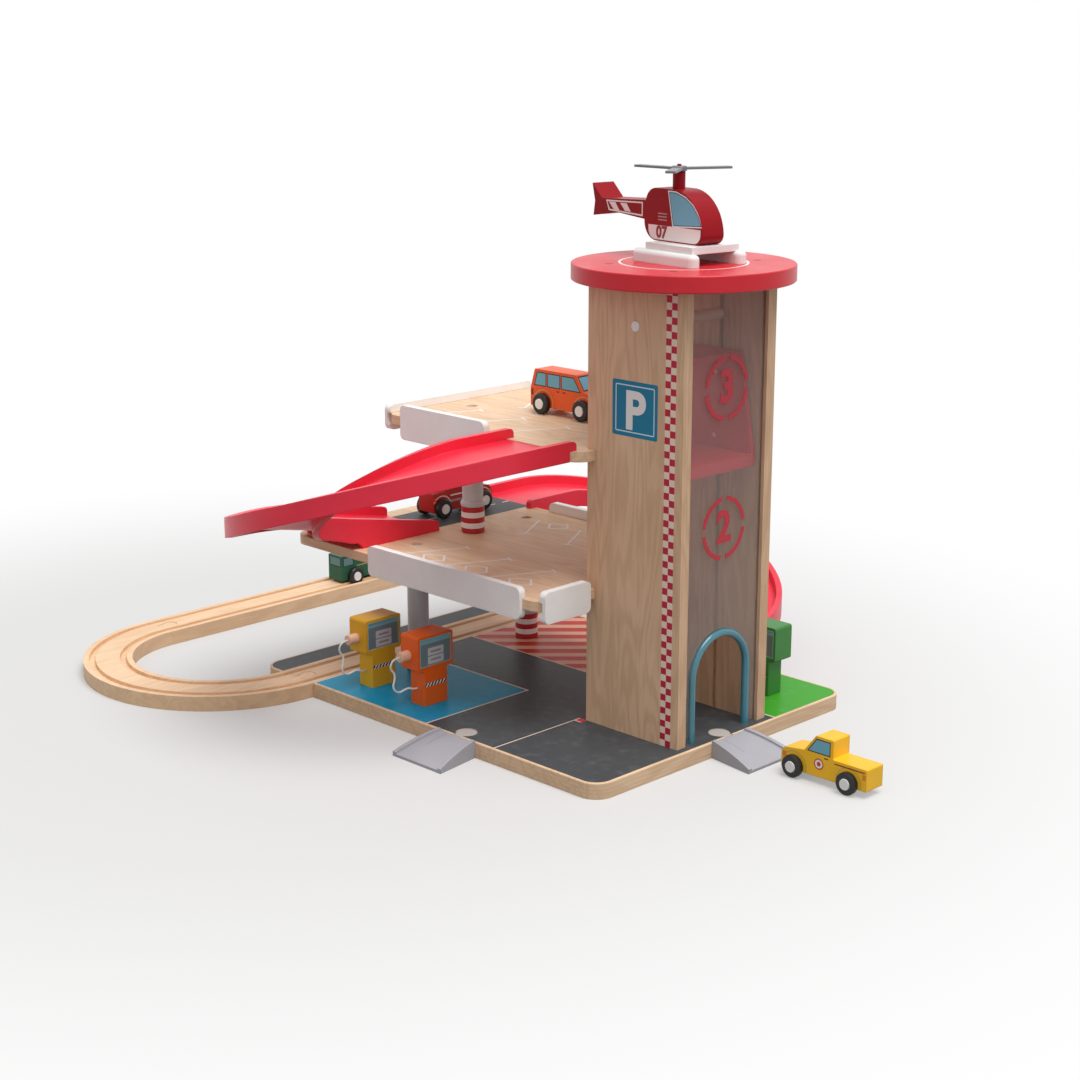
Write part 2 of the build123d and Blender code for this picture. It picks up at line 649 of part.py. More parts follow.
def wedge_side(rise):
    """The crowned side profile of an entry ramp, raised for the kerbs."""
    top, toe = BOARD_THICK + rise, WEDGE_TOE + rise
    crown = (-WEDGE_LENGTH / 2, (top + toe) / 2 + WEDGE_CROWN)
    edges = [
        Line((0, 0), (-WEDGE_LENGTH, 0)),
        Line((-WEDGE_LENGTH, 0), (-WEDGE_LENGTH, toe)),
        ThreePointArc((-WEDGE_LENGTH, toe), crown, (0, top)),
        Line((0, top), (0, 0)),
    ]
    reach = WEDGE_WIDTH / 2 + WEDGE_FLARE
    side = make_face([edge.edge() for edge in edges])
    return Pos(0, -reach, 0) * extrude(Plane.XZ * side, 2 * reach, dir=(0, 1, 0))


def entry_ramp():
    """A moulded wedge with kerbs and the round peg that hooks into the board."""
    road = wedge_side(0) & wedge_plan(0)
    kerbs = wedge_side(KERB_RISE) & (wedge_plan(0) - wedge_plan(KERB_WIDTH))
    return road + kerbs + peg(WEDGE_PEG_RADIUS, WEDGE_PEG_NECK, WEDGE_PEG_REACH, BOARD_THICK - PEG_SINK)


# ---- fuel pumps: front face at y = 0, middle at x = 0, standing on z = 0 ----
def pump_body():
    """Body and wider head with flush fronts, rounded edges and a sunk screen."""
    top = PUMP_BODY_HEIGHT + PUMP_HEAD_HEIGHT
    half_body, half_head = PUMP_BODY_WIDTH / 2, PUMP_HEAD_WIDTH / 2
    body = block((-half_body, half_body), (0, PUMP_BODY_DEPTH), (0, PUMP_BODY_HEIGHT))
    body = chamfer(body.edges().filter_by(Axis.Z), EDGE_BREAK)
    head = block((-half_head, half_head), (0, PUMP_HEAD_DEPTH), (PUMP_BODY_HEIGHT, top))
    head = fillet(head.edges().filter_by(Axis.Y), PUMP_ROUND)
    middle = PUMP_BODY_HEIGHT + PUMP_HEAD_HEIGHT / 2
    screen = block((-SCREEN_WIDTH / 2, SCREEN_WIDTH / 2), (0, SCREEN_SINK),
                   (middle - SCREEN_HEIGHT / 2, middle + SCREEN_HEIGHT / 2))
    return body + head - screen


def hosed_pump():
    """A pump with the hole that holds its nozzle."""
    start = (-PUMP_HEAD_WIDTH / 2, NOZZLE_SETBACK, NOZZLE_HEIGHT)
    return pump_body() - rod(NOZZLE_PIN_RADIUS + AXLE_GAP, start, NOZZLE_PIN_LENGTH + DEEP_GAP, (1, 0, 0))


def pump_nozzle():
    """The wooden nozzle peg with the pin that holds it in the pump's head."""
    face = (-PUMP_HEAD_WIDTH / 2, NOZZLE_SETBACK, NOZZLE_HEIGHT)
    grip = rod(NOZZLE_RADIUS, face, NOZZLE_REACH, (-1, 0, 0))
    grip = chamfer(grip.edges().sort_by(Axis.X)[0], EDGE_BREAK)
    return grip + rod(NOZZLE_PIN_RADIUS, face, NOZZLE_PIN_LENGTH, (1, 0, 0))


def route_radii(points):
    """The bend at each inner point: 0.45 of the shorter run over the tangent of half the turn."""
    spots = [Vector(*point) for point in points]
    radii = []
    for before, here, after in zip(spots, spots[1:], spots[2:]):
        run_in, run_out = here - before, after - here
        half_turn = radians(run_in.get_angle(run_out)) / 2
        radii.append(0.45 * min(run_in.length, run_out.length) / tan(half_turn))
    return radii


def pump_hose():
    """The limp hose from the nozzle's tip down to the pump's side."""
    radii = route_radii(HOSE_ROUTE)
    path = FilletPolyline(*HOSE_ROUTE, radius=radii)
    start = Plane(origin=path @ 0, z_dir=path % 0)
    section = RegularPolygon(HOSE_DIAMETER / 2, CORD_SIDES)
    hose = sweep(start * section, path)
    print("hose radii", [round(radius, 1) for radius in radii], "length", round(path.length, 1),
          "volume over section times length", round(hose.volume / (section.area * path.length), 4))
    return hose


# ---- lift ----
def lift_car():
    """The open-ended lift car with its slanting front, guide-peg holes and the boss for the cord."""
    side = [(LIFT_FRONT, LIFT_FLOOR_Z), (LIFT_BACK, LIFT_FLOOR_Z), (LIFT_BACK, LIFT_TOP),
            (LIFT_ROOF_FRONT, LIFT_TOP), (LIFT_FRONT, LIFT_FLOOR_Z + LIFT_FLOOR)]
    car = across_x(side, LIFT_LEFT, LIFT_RIGHT - LIFT_LEFT)
    car = fillet(car.edges().filter_by(Axis.Y).group_by(Axis.Z)[-1], LIFT_ROUND)
    car -= block((LIFT_LEFT + LIFT_WALL, LIFT_RIGHT - LIFT_WALL), (LIFT_FRONT, LIFT_BACK),
                 (LIFT_FLOOR_Z + LIFT_FLOOR, LIFT_TOP - LIFT_ROOF))
    for z in guide_peg_heights():
        car -= rod(GUIDE_PEG_RADIUS + FIT_GAP, (LIFT_LEFT, GUIDE_Y, z), LIFT_RIGHT - LIFT_LEFT, (1, 0, 0))
    return car + rod(CORD_BOSS_RADIUS, (WINDING_END_X, CORD_Y, LIFT_TOP), CORD_BOSS_HEIGHT)


def guide_peg_heights():
    """Heights of the guide pegs, one near the floor and one near the roof."""
    return (LIFT_FLOOR_Z + GUIDE_PEG_INSET, LIFT_TOP - GUIDE_PEG_INSET)


def lift_guide_pegs():
    """Four pegs that stand out of the car's walls into the guide grooves."""
    reach = LIFT_SIDE_GAP + GUIDE_DEPTH - GUIDE_PEG_END_GAP
    length = reach + LIFT_WALL
    return Compound(children=[
        rod(GUIDE_PEG_RADIUS, (x, GUIDE_Y, z), length, (1, 0, 0))
        for z in guide_peg_heights()
        for x in (LIFT_LEFT - reach, LIFT_RIGHT - LIFT_WALL)
    ])


def winding_roller():
    """The wooden winding roller with a journal through each side panel."""
    start, end = SHAFT_LEFT + ROLLER_END_GAP, SHAFT_RIGHT - ROLLER_END_GAP
    roller = rod(ROLLER_RADIUS, (start, ROLLER_Y, ROLLER_Z), end - start, (1, 0, 0))
    left = TOWER_LEFT - JOURNAL_PROUD
    right = TOWER_RIGHT + ROLLER_END_GAP + CRANK_THICK
    roller += rod(JOURNAL_RADIUS, (left, ROLLER_Y, ROLLER_Z), start - left, (1, 0, 0))
    return roller + rod(JOURNAL_RADIUS, (end, ROLLER_Y, ROLLER_Z), right - end, (1, 0, 0))


def crank_arm():
    """The tapered crank arm on the right-hand journal, pointing to the back."""
    outline = make_hull([
        *Circle(CRANK_HUB_RADIUS).edges(),
        *(Pos(CRANK_REACH, 0) * Circle(CRANK_END_RADIUS)).edges(),
    ])
    outline -= Circle(JOURNAL_RADIUS + FIT_GAP)
    outline -= Pos(CRANK_REACH, 0) * Circle(KNOB_PIN_RADIUS + FIT_GAP)
    plane = Plane(origin=(TOWER_RIGHT + ROLLER_END_GAP, ROLLER_Y, ROLLER_Z), x_dir=(0, 1, 0), z_dir=(1, 0, 0))
    return extrude(plane * outline, CRANK_THICK)


def crank_knob():
    """The turned knob with its pin through the arm's end."""
    face = TOWER_RIGHT + ROLLER_END_GAP + CRANK_THICK
    spot = (face, ROLLER_Y + CRANK_REACH, ROLLER_Z)
    knob = rod(KNOB_RADIUS, spot, KNOB_LENGTH, (1, 0, 0))
    knob = fillet(knob.edges().sort_by(Axis.X)[-1], RAMP_NOSE_RADIUS / 2)
    return knob + rod(KNOB_PIN_RADIUS, spot, CRANK_THICK, (-1, 0, 0))


def helix_point(turns):
    """Point and direction on the winding, from the end where the cord runs down to the car."""
    angle = 2 * pi * turns
    point = Vector(WINDING_END_X - WINDING_PITCH * turns, ROLLER_Y - WINDING_RADIUS * cos(angle),
                   ROLLER_Z + WINDING_RADIUS * sin(angle))
    along = Vector(-WINDING_PITCH, 2 * pi * WINDING_RADIUS * sin(angle), 2 * pi * WINDING_RADIUS * cos(angle))
    return point, along.normalized()


def biarc(start, start_along, end, end_along):
    """Two arcs that join two points and directions smoothly."""
    chord, both = end - start, start_along + end_along
    share = 2 * (1 - start_along.dot(end_along))
    reach = (sqrt(chord.dot(both) ** 2 + share * chord.dot(chord)) - chord.dot(both)) / share
    middle = (start + end + (start_along - end_along) * reach) * 0.5
    first = TangentArc(start, middle, tangent=start_along)
    return [first.edge(), TangentArc(middle, end, tangent=first % 1).edge()]


def cord_winding():
    """The wound cord: one unbroken tube of even turns round the roller."""
    stops = [helix_point(quarter / 4) for quarter in range(4 * WINDING_TURNS + 1)]
    edges = []
    for (start, start_along), (end, end_along) in zip(stops, stops[1:]):
        edges += biarc(start, start_along, end, end_along)
    first, along = stops[0]
    print("least gap between turns of the winding", round(winding_gap(), 2))
    section = Plane(origin=first, z_dir=along) * RegularPolygon(CORD_DIAMETER / 2, CORD_SIDES)
    return sweep(section, Wire(edges))


def winding_gap():
    """The least gap from one turn of the winding to the next, measured on points."""
    points = [helix_point(step / 24)[0] for step in range(24 * WINDING_TURNS + 1)]
    apart = [
        (one - other).length
        for index, one in enumerate(points)
        for other in points[index + 12:]
    ]
    return min(apart) - CORD_DIAMETER


def hoist_cord():
    """The straight cord from the roller down to the boss on the car."""
    low = LIFT_TOP + CORD_BOSS_HEIGHT
    return rod(CORD_DIAMETER / 2, (WINDING_END_X, CORD_Y, low), ROLLER_Z - CORD_SEAT_GAP - low)


# ---- helicopter: nose towards +X, standing on z = 0 ----
def heli_place():
    return at(HELI_X, HELI_Y, ROOF_TOP, HELI_HEADING)


def heli_body():
    """The block-cut cabin with its round nose, tail boom and swallow-tailed fin."""
    edges = [
        Line((-20, HELI_BELLY), (24, HELI_BELLY)),
        ThreePointArc((24, HELI_BELLY), (28.6, 16.0), (30.4, 21.0)),
        TangentArc((-1.5, HELI_TOP), (30.4, 21.0), tangent=(1, 0)),
        Line((-1.5, HELI_TOP), (-20.5, HELI_TOP)),
        ThreePointArc((-20.5, HELI_TOP), (-27.4, 47.4), (HELI_BOOM_ROOT + 0.8, 41.2)),
        Line((HELI_BOOM_ROOT + 0.8, 41.2), (-80.3, 39.1)),
        Line((-80.3, 39.1), (-91.7, 49.5)),
        Line((-91.7, 49.5), (-88.6, 36.7)),
        Line((-88.6, 36.7), (-90.3, 26.1)),
        Line((-90.3, 26.1), (-61.9, 30.1)),
        Line((-61.9, 30.1), (HELI_BOOM_ROOT - 0.5, 27.7)),
        ThreePointArc((HELI_BOOM_ROOT - 0.5, 27.7), (-28.6, 18.0), (-20, HELI_BELLY)),
    ]
    side = extrude(Plane.XZ * make_face([edge.edge() for edge in edges]), HELI_WIDTH, dir=(0, 1, 0))
    body = Pos(0, -HELI_WIDTH / 2, 0) * side
    return body - rod(MAST_RADIUS - 1.5 + FIT_GAP, (MAST_ALONG, 0, HELI_TOP - MAST_SPIGOT - DEEP_GAP),
                      MAST_SPIGOT + DEEP_GAP)


def heli_skids():
    """Two rounded skids joined by the bridge that carries the cabin."""
    plan = Pos(SKID_REAR + SKID_LENGTH / 2, 0) * SlotOverall(SKID_LENGTH, SKID_WIDTH)
    skid = extrude(plan, SKID_HEIGHT)
    skid = fillet(skid.faces().sort_by(Axis.Z)[-1].edges(), SKID_ROUND)
    half = SKID_SPREAD / 2
    bridge = block((BRIDGE_REAR, BRIDGE_FRONT), (-half, half), (HELI_BELLY - BRIDGE_THICK, HELI_BELLY))
    return bridge + Pos(0, half, 0) * skid + Pos(0, -half, 0) * skid


def heli_mast():
    """The rotor mast: spigot into the cabin, pin for the rotor."""
    mast = rod(MAST_RADIUS, (MAST_ALONG, 0, HELI_TOP), MAST_HEIGHT)
    mast += rod(MAST_RADIUS - 1.5, (MAST_ALONG, 0, HELI_TOP - MAST_SPIGOT), MAST_SPIGOT)
    return mast + rod(ROTOR_PIN_RADIUS, (MAST_ALONG, 0, HELI_TOP + MAST_HEIGHT), ROTOR_PIN_LENGTH)


def heli_rotor():
    """The three-bladed rotor on the mast's pin."""
    base = HELI_TOP + MAST_HEIGHT + ROTOR_LIFT
    hub = rod(ROTOR_HUB_RADIUS, (0, 0, 0), ROTOR_HUB_HEIGHT)
    hub = chamfer(hub.edges().sort_by(Axis.Z)[-1], EDGE_BREAK)
    blade = Pos(ROTOR_REACH / 2, 0) * SlotOverall(ROTOR_REACH + BLADE_WIDTH / 2, BLADE_WIDTH)
    blade = Pos(0, 0, (ROTOR_HUB_HEIGHT - BLADE_THICK) / 2) * extrude(blade, BLADE_THICK)
    blade -= block((ROTOR_REACH, ROTOR_REACH + BLADE_WIDTH), (-BLADE_WIDTH, BLADE_WIDTH),
                   (0, ROTOR_HUB_HEIGHT))
    for index in range(3):
        hub += Rot(0, 0, BLADE_FIRST_ANGLE - HELI_HEADING + 120 * index) * blade
    hub -= rod(ROTOR_PIN_RADIUS + AXLE_GAP, (0, 0, 0), ROTOR_HUB_HEIGHT)
    return Pos(MAST_ALONG, 0, base) * hub


# ---- vehicles: tail at x = 0, nose towards +X, ground at z = 0 ----
PICKUP_SIDE = ((0, CAR_SILL), (0, 21.5), (29, 21.5), (29, 35.5), (44, 35.5), (54, 22.5), (71, 20.5),
               (74, 17), (74, CAR_SILL))
PICKUP_WHEELS = (15.0, 62.5)
SUV_SIDE = ((0, CAR_SILL), (0, 20), (4.6, 35), (48.9, 35), (57, 22.4), (73, 20), (76, 16), (76, CAR_SILL))
SUV_WHEELS = (14.0, 57.5)
FIRE_SIDE = ((0, CAR_SILL), (0, 22), (12, 22), (16, 35), (42, 35), (50, 22), (63, 20), (66, 16),
             (66, CAR_SILL))
FIRE_WHEELS = (9.0, 55.0)
ENGINE_SIDE = ((0, CAR_SILL), (0, 29), (13, 29), (22, 22), (56, 22), (62, 17), (62, CAR_SILL))
ENGINE_WHEELS = (15.0, 48.0)

# Where each vehicle's tail stands: x, y, ground height and heading
PICKUP_PLACE = (145.0, -127.0, 0.0, 90.0)
SUV_PLACE = (169.5, 226.0, UPPER_TOP, -90.0)
FIRE_PLACE = (145.0, 335.0, LOWER_TOP, 0.0)
ENGINE_PLACE = (196.0, FAR_TRACK_Y, BOARD_THICK - GROOVE_DEPTH, 0.0)


def car_body(side, wheels):
    """A block-cut vehicle body with two axle bores."""
    body = across_y(side, -CAR_WIDTH / 2, CAR_WIDTH)
    crests = [edge for edge in body.edges().filter_by(Axis.Y) if edge.center().Z > 2 * CAR_SILL]
    body = fillet(crests, CAR_ROUND / 2)
    for x in wheels:
        side = (x, -CAR_WIDTH / 2, WHEEL_RADIUS + WHEEL_FLOAT)
        body -= rod(AXLE_RADIUS + AXLE_GAP, side, CAR_WIDTH, (0, 1, 0))
    return body


def wheelset(x):
    """Two wheels with hub caps on one axle."""
    outer = WHEEL_SPAN / 2
    inner = outer - WHEEL_WIDTH
    half = [
        (0, outer + HUB_PROUD), (HUB_RADIUS, outer + HUB_PROUD), (HUB_RADIUS, outer),
        (WHEEL_RADIUS - WHEEL_CHAMFER, outer), (WHEEL_RADIUS, outer - WHEEL_CHAMFER),
        (WHEEL_RADIUS, inner), (AXLE_RADIUS, inner),
    ]
    other = [(r, -w) for r, w in reversed(half)]
    turned = revolve(make_face(Polyline(half + other, close=True)), Axis.Y)
    return Pos(x, 0, WHEEL_RADIUS + WHEEL_FLOAT) * turned


def save_vehicle(name, side, wheels, place):
    """Write a vehicle's body and its two wheelsets at its place."""
    spot = at(*place)
    rear, front = wheels
    save(spot * car_body(side, wheels), f"{name}_body")
    save(spot * wheelset(front), f"{name}_front_wheels")
    save(spot * wheelset(rear), f"{name}_rear_wheels")


# ---- write every piece ----
def save_board_and_track():
    save(base_board(), "base_board")
    curve = track_curve()
    save(curve, "track_curve_left")
    middle_y = TRACK_Y + LOOP_RADIUS
    save(at(BOARD_WIDTH, 2 * middle_y, 0, 180) * curve, "track_curve_right")
    save(track_straight(), "track_straight_far")
    wedge = entry_ramp()
    save(at(0, LEFT_WEDGE_Y, 0) * wedge, "entry_ramp_left")
    save(at(FRONT_WEDGE_X, 0, 0, 90) * wedge, "entry_ramp_front")


def save_tower():
    panel = tower_panel()
    save(panel, "tower_panel_left")
    save(mirror(panel, Plane(origin=(TOWER_MID, 0, 0), z_dir=(1, 0, 0))), "tower_panel_right")
    save(tower_window(), "tower_window")
    save(arch_trim(), "arch_trim")
    save(roof_disc(), "roof_disc")
    save(roof_dowels(), "roof_dowels")


def save_decks():
    save(deck_lower(), "deck_lower")
    save(deck_upper(), "deck_upper")
    posts = (
        ("left", POST_LEFT_X, POST_Y, BOARD_THICK),
        ("right", POST_RIGHT_X, POST_Y, BOARD_THICK),
        ("upper", UPPER_POST_X, UPPER_POST_Y, LOWER_TOP),
    )
    for name, x, y, floor in posts:
        save(post_foot(x, y, floor), f"post_foot_{name}")
        save(post_column(x, y, floor), f"post_column_{name}")


def save_rails():
    lower, upper = LOWER_RAIL_HEIGHT, UPPER_RAIL_HEIGHT
    front_right = (2 * TOWER_MID - FRONT_RAIL_END, DECK_RIGHT - FRONT_RAIL_START + LOWER_DECK_LEFT)
    save(left_rail(LOWER_DECK_LEFT, SIDE_RAIL_FRONT, LOWER_RAIL_BACK, LOWER_TOP, lower), "rail_lower_left")
    save(right_rail(SIDE_RAIL_FRONT, LOWER_RAIL_BACK, LOWER_TOP, lower), "rail_lower_right")
    save(front_rail(FRONT_RAIL_START, FRONT_RAIL_END, LOWER_TOP, lower), "rail_lower_front_left")
    save(front_rail(*front_right, LOWER_TOP, lower), "rail_lower_front_right")
    side_rail = left_rail(UPPER_DECK_LEFT, UPPER_LEFT_RAIL_FRONT, UPPER_RAIL_BACK, UPPER_TOP, upper)
    save(side_rail, "rail_upper_left")
    save(right_rail(SIDE_RAIL_FRONT, UPPER_RAIL_BACK, UPPER_TOP, upper), "rail_upper_right")
    back_end = DECK_RIGHT - BACK_RAIL_START + UPPER_DECK_LEFT
    far_rail = back_rail(BACK_RAIL_START, back_end, UPPER_DECK_BACK, UPPER_TOP, BACK_RAIL_HEIGHT)
    save(far_rail, "rail_upper_back")


def save_ramps():
    shape = ramp()
    save(at(UPPER_DECK_LEFT - RAMP_STRAIGHT, RAMP_TURN_Y, UPPER_TOP) * shape, "ramp_upper")
    save(at(DECK_RIGHT + RAMP_STRAIGHT, RAMP_TURN_Y, LOWER_TOP, 180) * shape, "ramp_lower")


def save_pumps():
    yellow = at(PUMP_X, YELLOW_PUMP_FRONT, BOARD_THICK)
    orange = at(PUMP_X, ORANGE_PUMP_FRONT, BOARD_THICK)
    hose = pump_hose()
    for name, spot in (("yellow", yellow), ("orange", orange)):
        save(spot * hosed_pump(), f"pump_{name}")
        save(spot * pump_nozzle(), f"nozzle_{name}")
        save(spot * hose, f"hose_{name}")
    save(at(GREEN_PUMP_FRONT, GREEN_PUMP_Y, BOARD_THICK, -90) * pump_body(), "pump_green")


def save_lift():
    save(lift_car(), "lift_car")
    save(lift_guide_pegs(), "lift_guide_pegs")
    save(winding_roller(), "winding_roller")
    save(crank_arm(), "crank_arm")
    save(crank_knob(), "crank_knob")
    save(cord_winding(), "cord_winding")
    save(hoist_cord(), "hoist_cord")


def save_helicopter():
    for name, piece in (("body", heli_body()), ("skids", heli_skids()), ("mast", heli_mast()),
                        ("rotor", heli_rotor())):
        save(heli_place() * piece, f"helicopter_{name}")


os.makedirs("parts", exist_ok=True)
save_board_and_track()
save_tower()
save_decks()
save_rails()
save_ramps()
save_pumps()
save_lift()
save_helicopter()
save_vehicle("pickup", PICKUP_SIDE, PICKUP_WHEELS, PICKUP_PLACE)
save_vehicle("suv", SUV_SIDE, SUV_WHEELS, SUV_PLACE)
save_vehicle("fire_car", FIRE_SIDE, FIRE_WHEELS, FIRE_PLACE)
save_vehicle("rail_engine", ENGINE_SIDE, ENGINE_WHEELS, ENGINE_PLACE)
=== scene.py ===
"""Wooden toy parking garage with a cranked lift, dressed for its picture.

The base board, tower, decks, moulded ramps, fuel pumps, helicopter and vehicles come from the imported
model. This file gives each of them its finish and adds what is printed, glued or threaded on: the
numerals, the hoses and the lift's cord. Sizes inside the classes are millimetres measured from the
base board's front left corner, with Z up; Blender's own metres start at the middle of the board.
"""
import logging
import math
from dataclasses import dataclass, field
from enum import Enum

import bmesh
import bpy
from mathutils import Matrix, Vector


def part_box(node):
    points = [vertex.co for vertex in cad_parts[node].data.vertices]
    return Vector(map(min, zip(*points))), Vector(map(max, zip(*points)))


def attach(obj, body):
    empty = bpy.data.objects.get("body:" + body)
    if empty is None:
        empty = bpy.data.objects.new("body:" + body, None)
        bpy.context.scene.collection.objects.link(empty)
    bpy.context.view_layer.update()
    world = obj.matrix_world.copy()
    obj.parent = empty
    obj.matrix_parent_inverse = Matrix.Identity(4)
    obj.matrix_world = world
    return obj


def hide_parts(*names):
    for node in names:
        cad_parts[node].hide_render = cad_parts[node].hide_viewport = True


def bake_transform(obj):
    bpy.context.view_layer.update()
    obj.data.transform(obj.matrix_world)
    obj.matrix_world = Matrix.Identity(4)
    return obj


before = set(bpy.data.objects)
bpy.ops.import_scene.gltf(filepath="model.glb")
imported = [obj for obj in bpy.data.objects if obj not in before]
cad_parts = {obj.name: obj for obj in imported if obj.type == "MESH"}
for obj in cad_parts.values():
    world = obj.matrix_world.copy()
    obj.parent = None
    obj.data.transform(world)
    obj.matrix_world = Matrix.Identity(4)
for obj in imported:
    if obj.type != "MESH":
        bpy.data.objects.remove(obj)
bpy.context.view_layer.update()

SHOP = logging.getLogger("garage")
MM = 1000.0
CORNER = Vector((140.5, 187.5, 0.0))
RIGHT, BACK, UP = (1.0, 0.0, 0.0), (0.0, 1.0, 0.0), (0.0, 0.0, 1.0)
LEFT, FRONT = (-1.0, 0.0, 0.0), (0.0, -1.0, 0.0)
LACQUER_ROUGHNESS = 0.12
CLEAR_TINT = (0.99, 0.98, 0.97, 1.0)
Pair = tuple[float, float]
Triple = tuple[float, float, float]
Colour = tuple[float, float, float]


def metres(spot: Triple) -> Vector:
    """Turn a place in board millimetres into Blender's metres."""
    return (Vector(spot) - CORNER) / MM


# ---------------------------------------------------------------- shader arithmetic
def add_node(tree: bpy.types.NodeTree, kind: str, inputs: dict | None = None,
             **settings: object) -> bpy.types.Node:
    """Add a shader node, set its options and feed its inputs.

    Args:
        tree: The tree that it goes into.
        kind: The node's type, without Blender's prefix.
        inputs: A number, colour, output or Value for each input, by place or name.
        settings: The node's own options.

    Returns:
        The new node.
    """
    node = tree.nodes.new(f"ShaderNode{kind}")
    for option, choice in settings.items():
        setattr(node, option, choice)
    for place, source in (inputs or {}).items():
        source = source.socket if isinstance(source, Value) else source
        if isinstance(source, bpy.types.NodeSocket):
            tree.links.new(source, node.inputs[place])
        else:
            node.inputs[place].default_value = source
    return node


class Value:
    """A number that the shader works out at every point of a surface."""

    def __init__(self, ink: "Ink", socket: bpy.types.NodeSocket) -> None:
        """Keep the socket that gives the number.

        Args:
            ink: The material that the number belongs to.
            socket: The output that carries it.
        """
        self.ink = ink
        self.socket = socket

    def calc(self, operation: str, *others: "Value | float") -> "Value":
        """Join this number with others through a Math node.

        Args:
            operation: The Math node's operation.
            others: The second and third inputs.

        Returns:
            The result as a new number.
        """
        node = self.ink.node("Math", dict(enumerate((self, *others))), operation=operation)
        return Value(self.ink, node.outputs[0])

    def __add__(self, other: "Value | float") -> "Value":
        """Add."""
        return self.calc("ADD", other)

    def __sub__(self, other: "Value | float") -> "Value":
        """Take away."""
        return self.calc("SUBTRACT", other)

    def __mul__(self, other: "Value | float") -> "Value":
        """Multiply."""
        return self.calc("MULTIPLY", other)

    def near(self, middle: float, reach: float) -> "Value":
        """Give 1 where the number lies within a reach of a middle value."""
        return self.calc("COMPARE", middle, reach)

    def between(self, low: float, high: float) -> "Value":
        """Give 1 from the low value to the high one."""
        return self.near((low + high) / 2, (high - low) / 2)

    def below(self, limit: float) -> "Value":
        """Give 1 where the number is under the limit."""
        return self.calc("LESS_THAN", limit)

    def above(self, limit: float) -> "Value":
        """Give 1 where the number is over the limit."""
        return self.calc("GREATER_THAN", limit)

    def size(self) -> "Value":
        """Drop the sign."""
        return self.calc("ABSOLUTE")

    def hypot(self, other: "Value") -> "Value":
        """Give the length of the two numbers taken as the sides of a right angle."""
        return (self * self + other * other).calc("SQRT")

    def ramp(self, low: float, high: float) -> "Value":
        """Rise smoothly from 0 at the low value to 1 at the high one."""
        node = self.ink.node("MapRange", {"Value": self, "From Min": low, "From Max": high},
                             interpolation_type="SMOOTHSTEP")
        return Value(self.ink, node.outputs["Result"])


